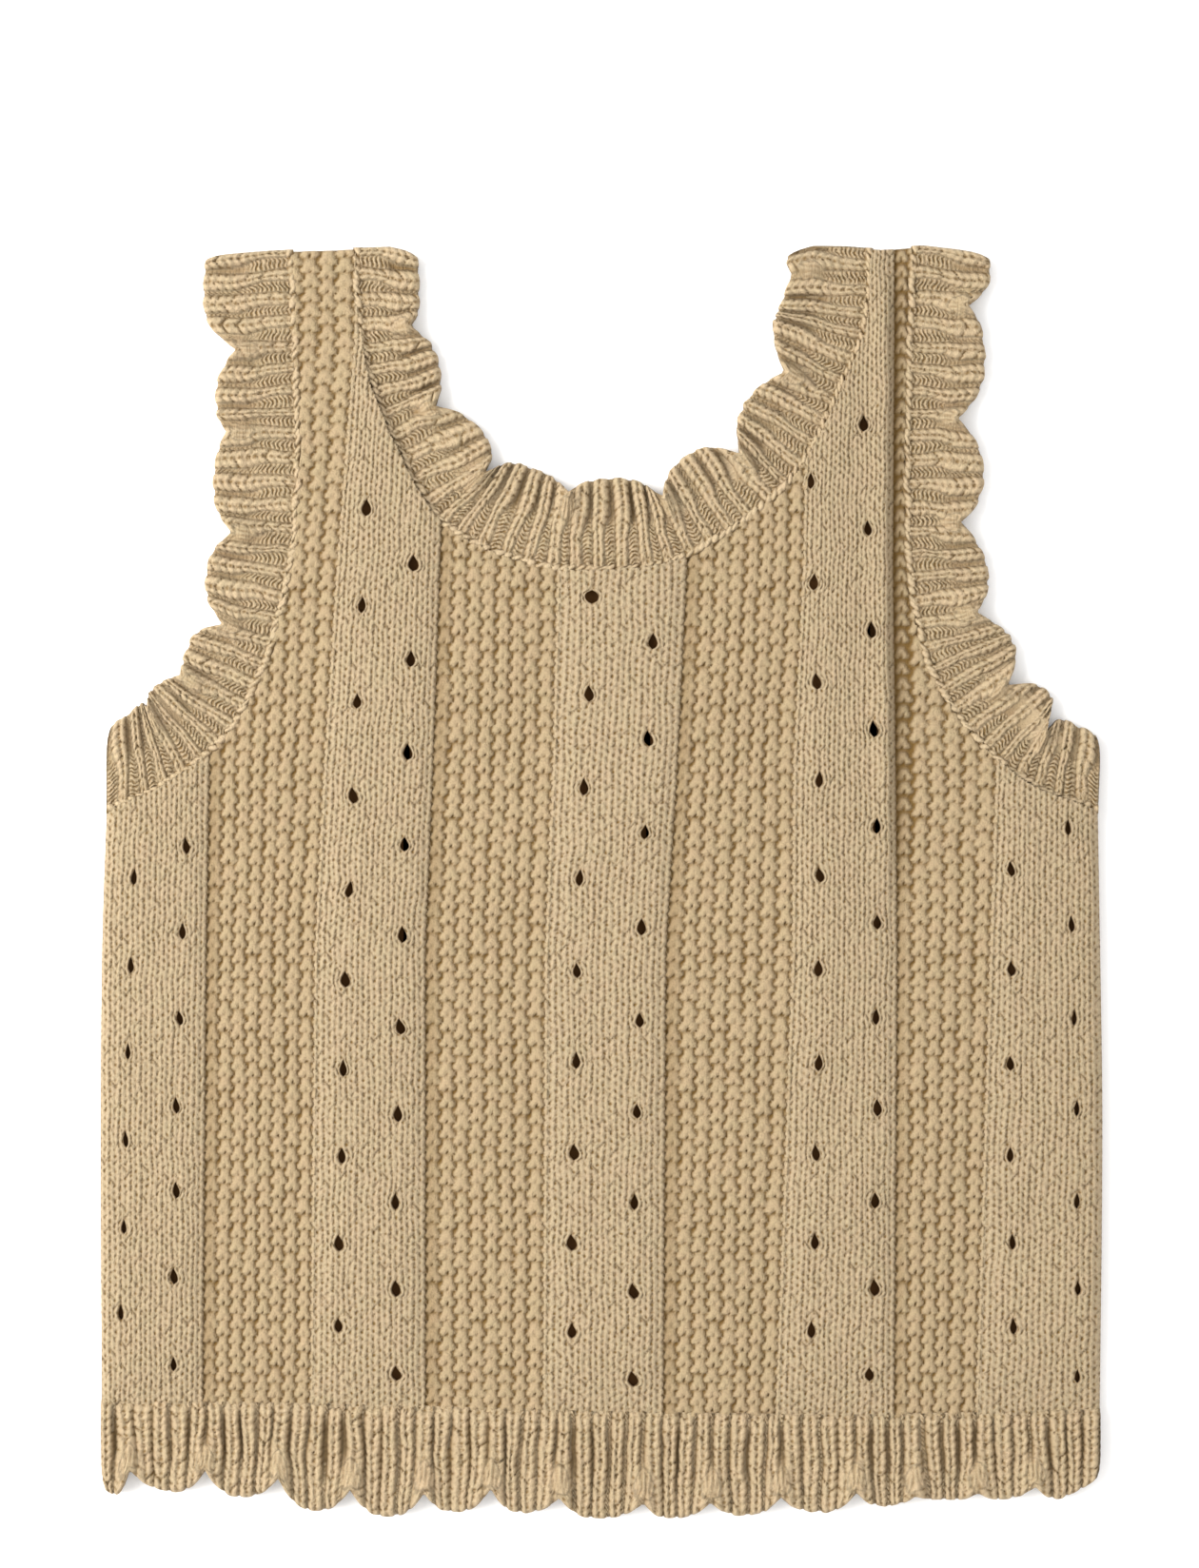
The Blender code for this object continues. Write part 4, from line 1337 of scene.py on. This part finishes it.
def cotton_finish(name, cotton, kind):
    """Matte plied cotton with fibres and uneven dye, painted shade between the strands and in its own
    stitch's pits, and painted shade in the eyelets.
    """
    finish = Finish(name)
    yarn = [part * factor for part, factor in zip(cotton.yarn, STITCH_LIGHT_AND_SHADE[kind])]
    across, down, rung = finish.split(finish.attribute("stitch", "Vector"))
    shade = finish.attribute("shade", "Fac")
    hollow_and_shade = finish.attribute("hollow_and_shade", "Fac")
    place = finish.read(finish.node("ShaderNodeTexCoord"), "Object")
    broad = finish.noise(place, 30.0)
    patch = finish.noise(place, 170.0)
    bend = finish.noise(place, 420.0) - 0.5
    sway = finish.noise(place, 330.0) - 0.5
    grain = finish.noise(place, 2100.0, 3.0)
    lit = finish.blend(broad, opaque(yarn, 0.9), opaque(yarn, 1.1))
    red, green, blue = yarn
    rosy = opaque((red * 1.03, green * 0.975, blue * 0.97))
    mossy = opaque((red * 0.965, green * 1.005, blue * 0.95))
    tinted = finish.blend(finish.spread(patch, 0.3, 0.7), rosy, mossy)
    lit = finish.blend(0.5, lit, tinted)
    lit = finish.blend(finish.spread(grain, 0.35, 0.75) * 0.5, lit, opaque(yarn, 0.6))
    # Painted shade: where the shade value is low, the yarn darkens towards the crevice shade colour
    pits = 1.0 - shade
    bent = across + 0.35 * bend
    fallen = down + 0.6 * sway
    if kind == "stockinette":
        # Painted shade in the gaps between the legs: dots at each wale's middle and border, and faint lines
        # beside the legs
        middle = abs(bent.fraction() - 0.5)
        row = fallen.fraction()
        centre_pit = middle.peak(0.12) * abs(row - 0.5).peak(0.24)
        other = finish.math("FRACT", row + 0.5)
        border_pit = (0.5 - middle).peak(0.12) * abs(other - 0.5).peak(0.24)
        leg_gap_shade = middle.peak(0.07) + (0.5 - middle).peak(0.07)
        dot_shade = centre_pit + border_pit
        uneven = 0.4 + 0.6 * finish.noise(place, 520.0).spread(0.35, 0.6)
        pits = finish.math("MAXIMUM", pits * 0.55, dot_shade * uneven * cotton.dot_shade)
        pits = finish.math("MINIMUM", pits + 0.08 * leg_gap_shade, 1.0)
    if kind == "rib":
        # Painted shade in the rib: dots between the legs, a line down its middle, and strokes between the
        # furrow's cross strands
        dot_shade = abs(bent - 0.5).peak(0.13) * abs(fallen.fraction() - 0.5).peak(0.27)
        broken = finish.spread(finish.noise(place, 640.0), 0.32, 0.5)
        rungs = abs(finish.math("FRACT", rung + 1.3 * bend) - 0.5).peak(0.27) * (0.3 + 0.7 * broken)
        rungs = rungs * finish.attribute("rungs", "Fac")
        line = abs(bent - 0.5).peak(0.1)
        strokes = finish.math("MAXIMUM", (0.7 * dot_shade * broken + 0.2 * line) * cotton.dot_shade, rungs)
        pits = finish.math("MAXIMUM", pits * 0.85, strokes)
    # The painted shade and the painted hollow shade darken the base colour
    coloured = finish.blend(pits, lit, opaque(cotton.crevice_shade))
    coloured = finish.blend(hollow_and_shade, coloured, opaque(cotton.hollow_and_shade))
    fibres = finish.noise(finish.join(across * 12.0, down * 5.0, 0.0), 1.0, 2.0)
    fuzz = finish.noise(place, 950.0)
    bumps = fibres + grain * 0.9 + fuzz * 1.2 - 1.5 * pits
    bump = finish.node("ShaderNodeBump", None, {"Strength": 0.9, "Distance": 0.0004, "Height": bumps})
    sockets = {
        "Base Color": coloured,
        "Roughness": cotton.roughness,
        "Sheen Weight": cotton.sheen,
        "Sheen Roughness": 0.5,
        "Specular IOR Level": 0.15,
        "Normal": finish.read(bump),
    }
    shader = finish.node("ShaderNodeBsdfPrincipled", None, sockets)
    finish.node("ShaderNodeOutputMaterial", None, {"Surface": finish.read(shader)})
    return finish.material


def plain_finish(name, colour, roughness):
    """A plain matte surface with a faint grain."""
    finish = Finish(name)
    place = finish.read(finish.node("ShaderNodeTexCoord"), "Object")
    grain = finish.noise(place, 900.0)
    coloured = finish.blend(grain, opaque(colour, 0.99), opaque(colour))
    shader = finish.node("ShaderNodeBsdfPrincipled", None, {"Base Color": coloured, "Roughness": roughness})
    finish.node("ShaderNodeOutputMaterial", None, {"Surface": finish.read(shader)})
    return finish.material


def get_finish(name, cotton, kind):
    """The named cotton material, made the first time that it is asked for."""
    return bpy.data.materials.get(name) or cotton_finish(name, cotton, kind)


def inside_shade_finish(cotton):
    """The panels' inner side, painted in the dark hollow shade colour, which shows only in the depth of the
    eyelets.
    """
    name = "cotton_inside_shade"
    return bpy.data.materials.get(name) or plain_finish(name, cotton.hollow_and_shade, cotton.roughness)


def place_piece(thing, node=None):
    """Fixes the piece to the garment's body, in place of its solid."""
    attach(thing, "root")
    if node:
        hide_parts(node)


def make_panel(context, is_front, detail):
    """All the bands of one panel, in place of its solid."""
    scene = context.scene
    cotton, stitches = scene.knit_cotton, scene.knit_stitches
    node = "front_panel" if is_front else "back_panel"
    for number in range(len(BAND_STITCHES)):
        kind = "moss" if number % 2 == 1 else "stockinette"
        materials = [get_finish("cotton_" + kind, cotton, kind), inside_shade_finish(cotton)]
        thing, area = make_band(number, is_front, detail, stitches, materials)
        place_piece(thing, node)


class KNIT_OT_front_panel(bpy.types.Operator):
    """Knit the front panel: five stockinette bands with eyelets and four moss bands"""

    bl_idname = "knit.front_panel"
    bl_label = "Front panel"

    def execute(self, context):
        make_panel(context, True, FRONT_DETAIL)
        return {"FINISHED"}


class KNIT_OT_back_panel(bpy.types.Operator):
    """Knit the back panel, which lies under the front"""

    bl_idname = "knit.back_panel"
    bl_label = "Back panel"

    def execute(self, context):
        make_panel(context, False, BACK_DETAIL)
        return {"FINISHED"}


class KNIT_OT_frills(bpy.types.Operator):
    """Knit the ribbed frills of the neck, armholes and hem, front and back"""

    bl_idname = "knit.frills"
    bl_label = "Frills and hem"

    def execute(self, context):
        scene = context.scene
        material = get_finish("cotton_rib", scene.knit_cotton, "rib")
        for style in FRILLS:
            sides = ((True, style.columns, FRONT_ROW_STEP), (False, style.columns // 2, BACK_ROW_STEP))
            for is_front, columns, step in sides:
                thing, area = make_frill(
                    style, is_front, columns, step, scene.knit_frills, scene.knit_stitches, material
                )
                place_piece(thing, style.name + ("_front" if is_front else "_back"))
                chains = []
                if is_front and style.seam != "hem":
                    chains.append(make_chain(style, scene.knit_frills, material))
                    place_piece(chains[0])
        return {"FINISHED"}


class KNIT_OT_studio(bpy.types.Operator):
    """Set up the floor, the lights and the camera over the garment"""

    bl_idname = "knit.studio"
    bl_label = "Studio"

    def execute(self, context):
        scene = context.scene
        studio = scene.knit_studio
        bpy.ops.mesh.primitive_plane_add(size=FLOOR_SIZE, location=(0.0, 0.0, FLOOR_HEIGHT))
        floor = context.object
        floor.name = "floor"
        floor.data.materials.append(plain_finish("floor_paper", studio.floor, 0.9))
        world = bpy.data.worlds.new("studio")
        world.use_nodes = True
        background = world.node_tree.nodes["Background"]
        background.inputs["Color"].default_value = (1.0, 1.0, 1.0, 1.0)
        background.inputs["Strength"].default_value = studio.sky
        scene.world = world
        key = bpy.data.lights.new("key", "AREA")
        key.size = LAMP_SIZE
        key.energy = studio.key_power
        key.color = LAMP_COLOUR
        lamp = bpy.data.objects.new("key", key)
        lamp.location = LAMP_PLACE
        direction = -lamp.location.normalized()
        lamp.rotation_euler = direction.to_track_quat("-Z", "Y").to_euler()
        scene.collection.objects.link(lamp)
        lens = bpy.data.cameras.new("camera")
        lens.sensor_fit = "VERTICAL"
        lens.sensor_height = SENSOR_HEIGHT
        lens.lens = lens.sensor_height * studio.distance / studio.frame_height
        camera = bpy.data.objects.new("camera", lens)
        x, y, z = studio.centre
        camera.location = (x, y, z + studio.distance)
        scene.collection.objects.link(camera)
        scene.camera = camera
        scene.view_settings.view_transform = "Standard"
        return {"FINISHED"}


class KNIT_PT_panel(bpy.types.Panel):
    """Lists the steps and the settings of the knit top"""

    bl_label = "Knit top"
    bl_idname = "KNIT_PT_panel"
    bl_space_type = "VIEW_3D"
    bl_region_type = "UI"
    bl_category = "Knit top"

    def draw(self, context):
        for step in STEPS:
            self.layout.operator(step.bl_idname)
        for key, group in SETTINGS.items():
            box = self.layout.box()
            for name in group.__annotations__:
                box.prop(getattr(context.scene, key), name)


STEPS = (KNIT_OT_studio, KNIT_OT_front_panel, KNIT_OT_back_panel, KNIT_OT_frills)
SETTINGS = {
    "knit_cotton": CottonSettings,
    "knit_stitches": StitchSettings,
    "knit_frills": FrillSettings,
    "knit_studio": StudioSettings,
}


def register():
    """Registers the settings, the steps and the panel."""
    for group in SETTINGS.values():
        bpy.utils.register_class(group)
    for step in STEPS:
        bpy.utils.register_class(step)
    bpy.utils.register_class(KNIT_PT_panel)
    for key, group in SETTINGS.items():
        setattr(bpy.types.Scene, key, bpy.props.PointerProperty(type=group))


def unregister():
    """Takes back what register did."""
    for key in SETTINGS:
        delattr(bpy.types.Scene, key)
    bpy.utils.unregister_class(KNIT_PT_panel)
    for step in reversed(STEPS):
        bpy.utils.unregister_class(step)
    for group in reversed(SETTINGS.values()):
        bpy.utils.unregister_class(group)


def main():
    """Builds everything in order."""
    register()
    bpy.ops.knit.studio()
    bpy.ops.knit.front_panel()
    bpy.ops.knit.back_panel()
    bpy.ops.knit.frills()


if __name__ == "__main__":
    main()
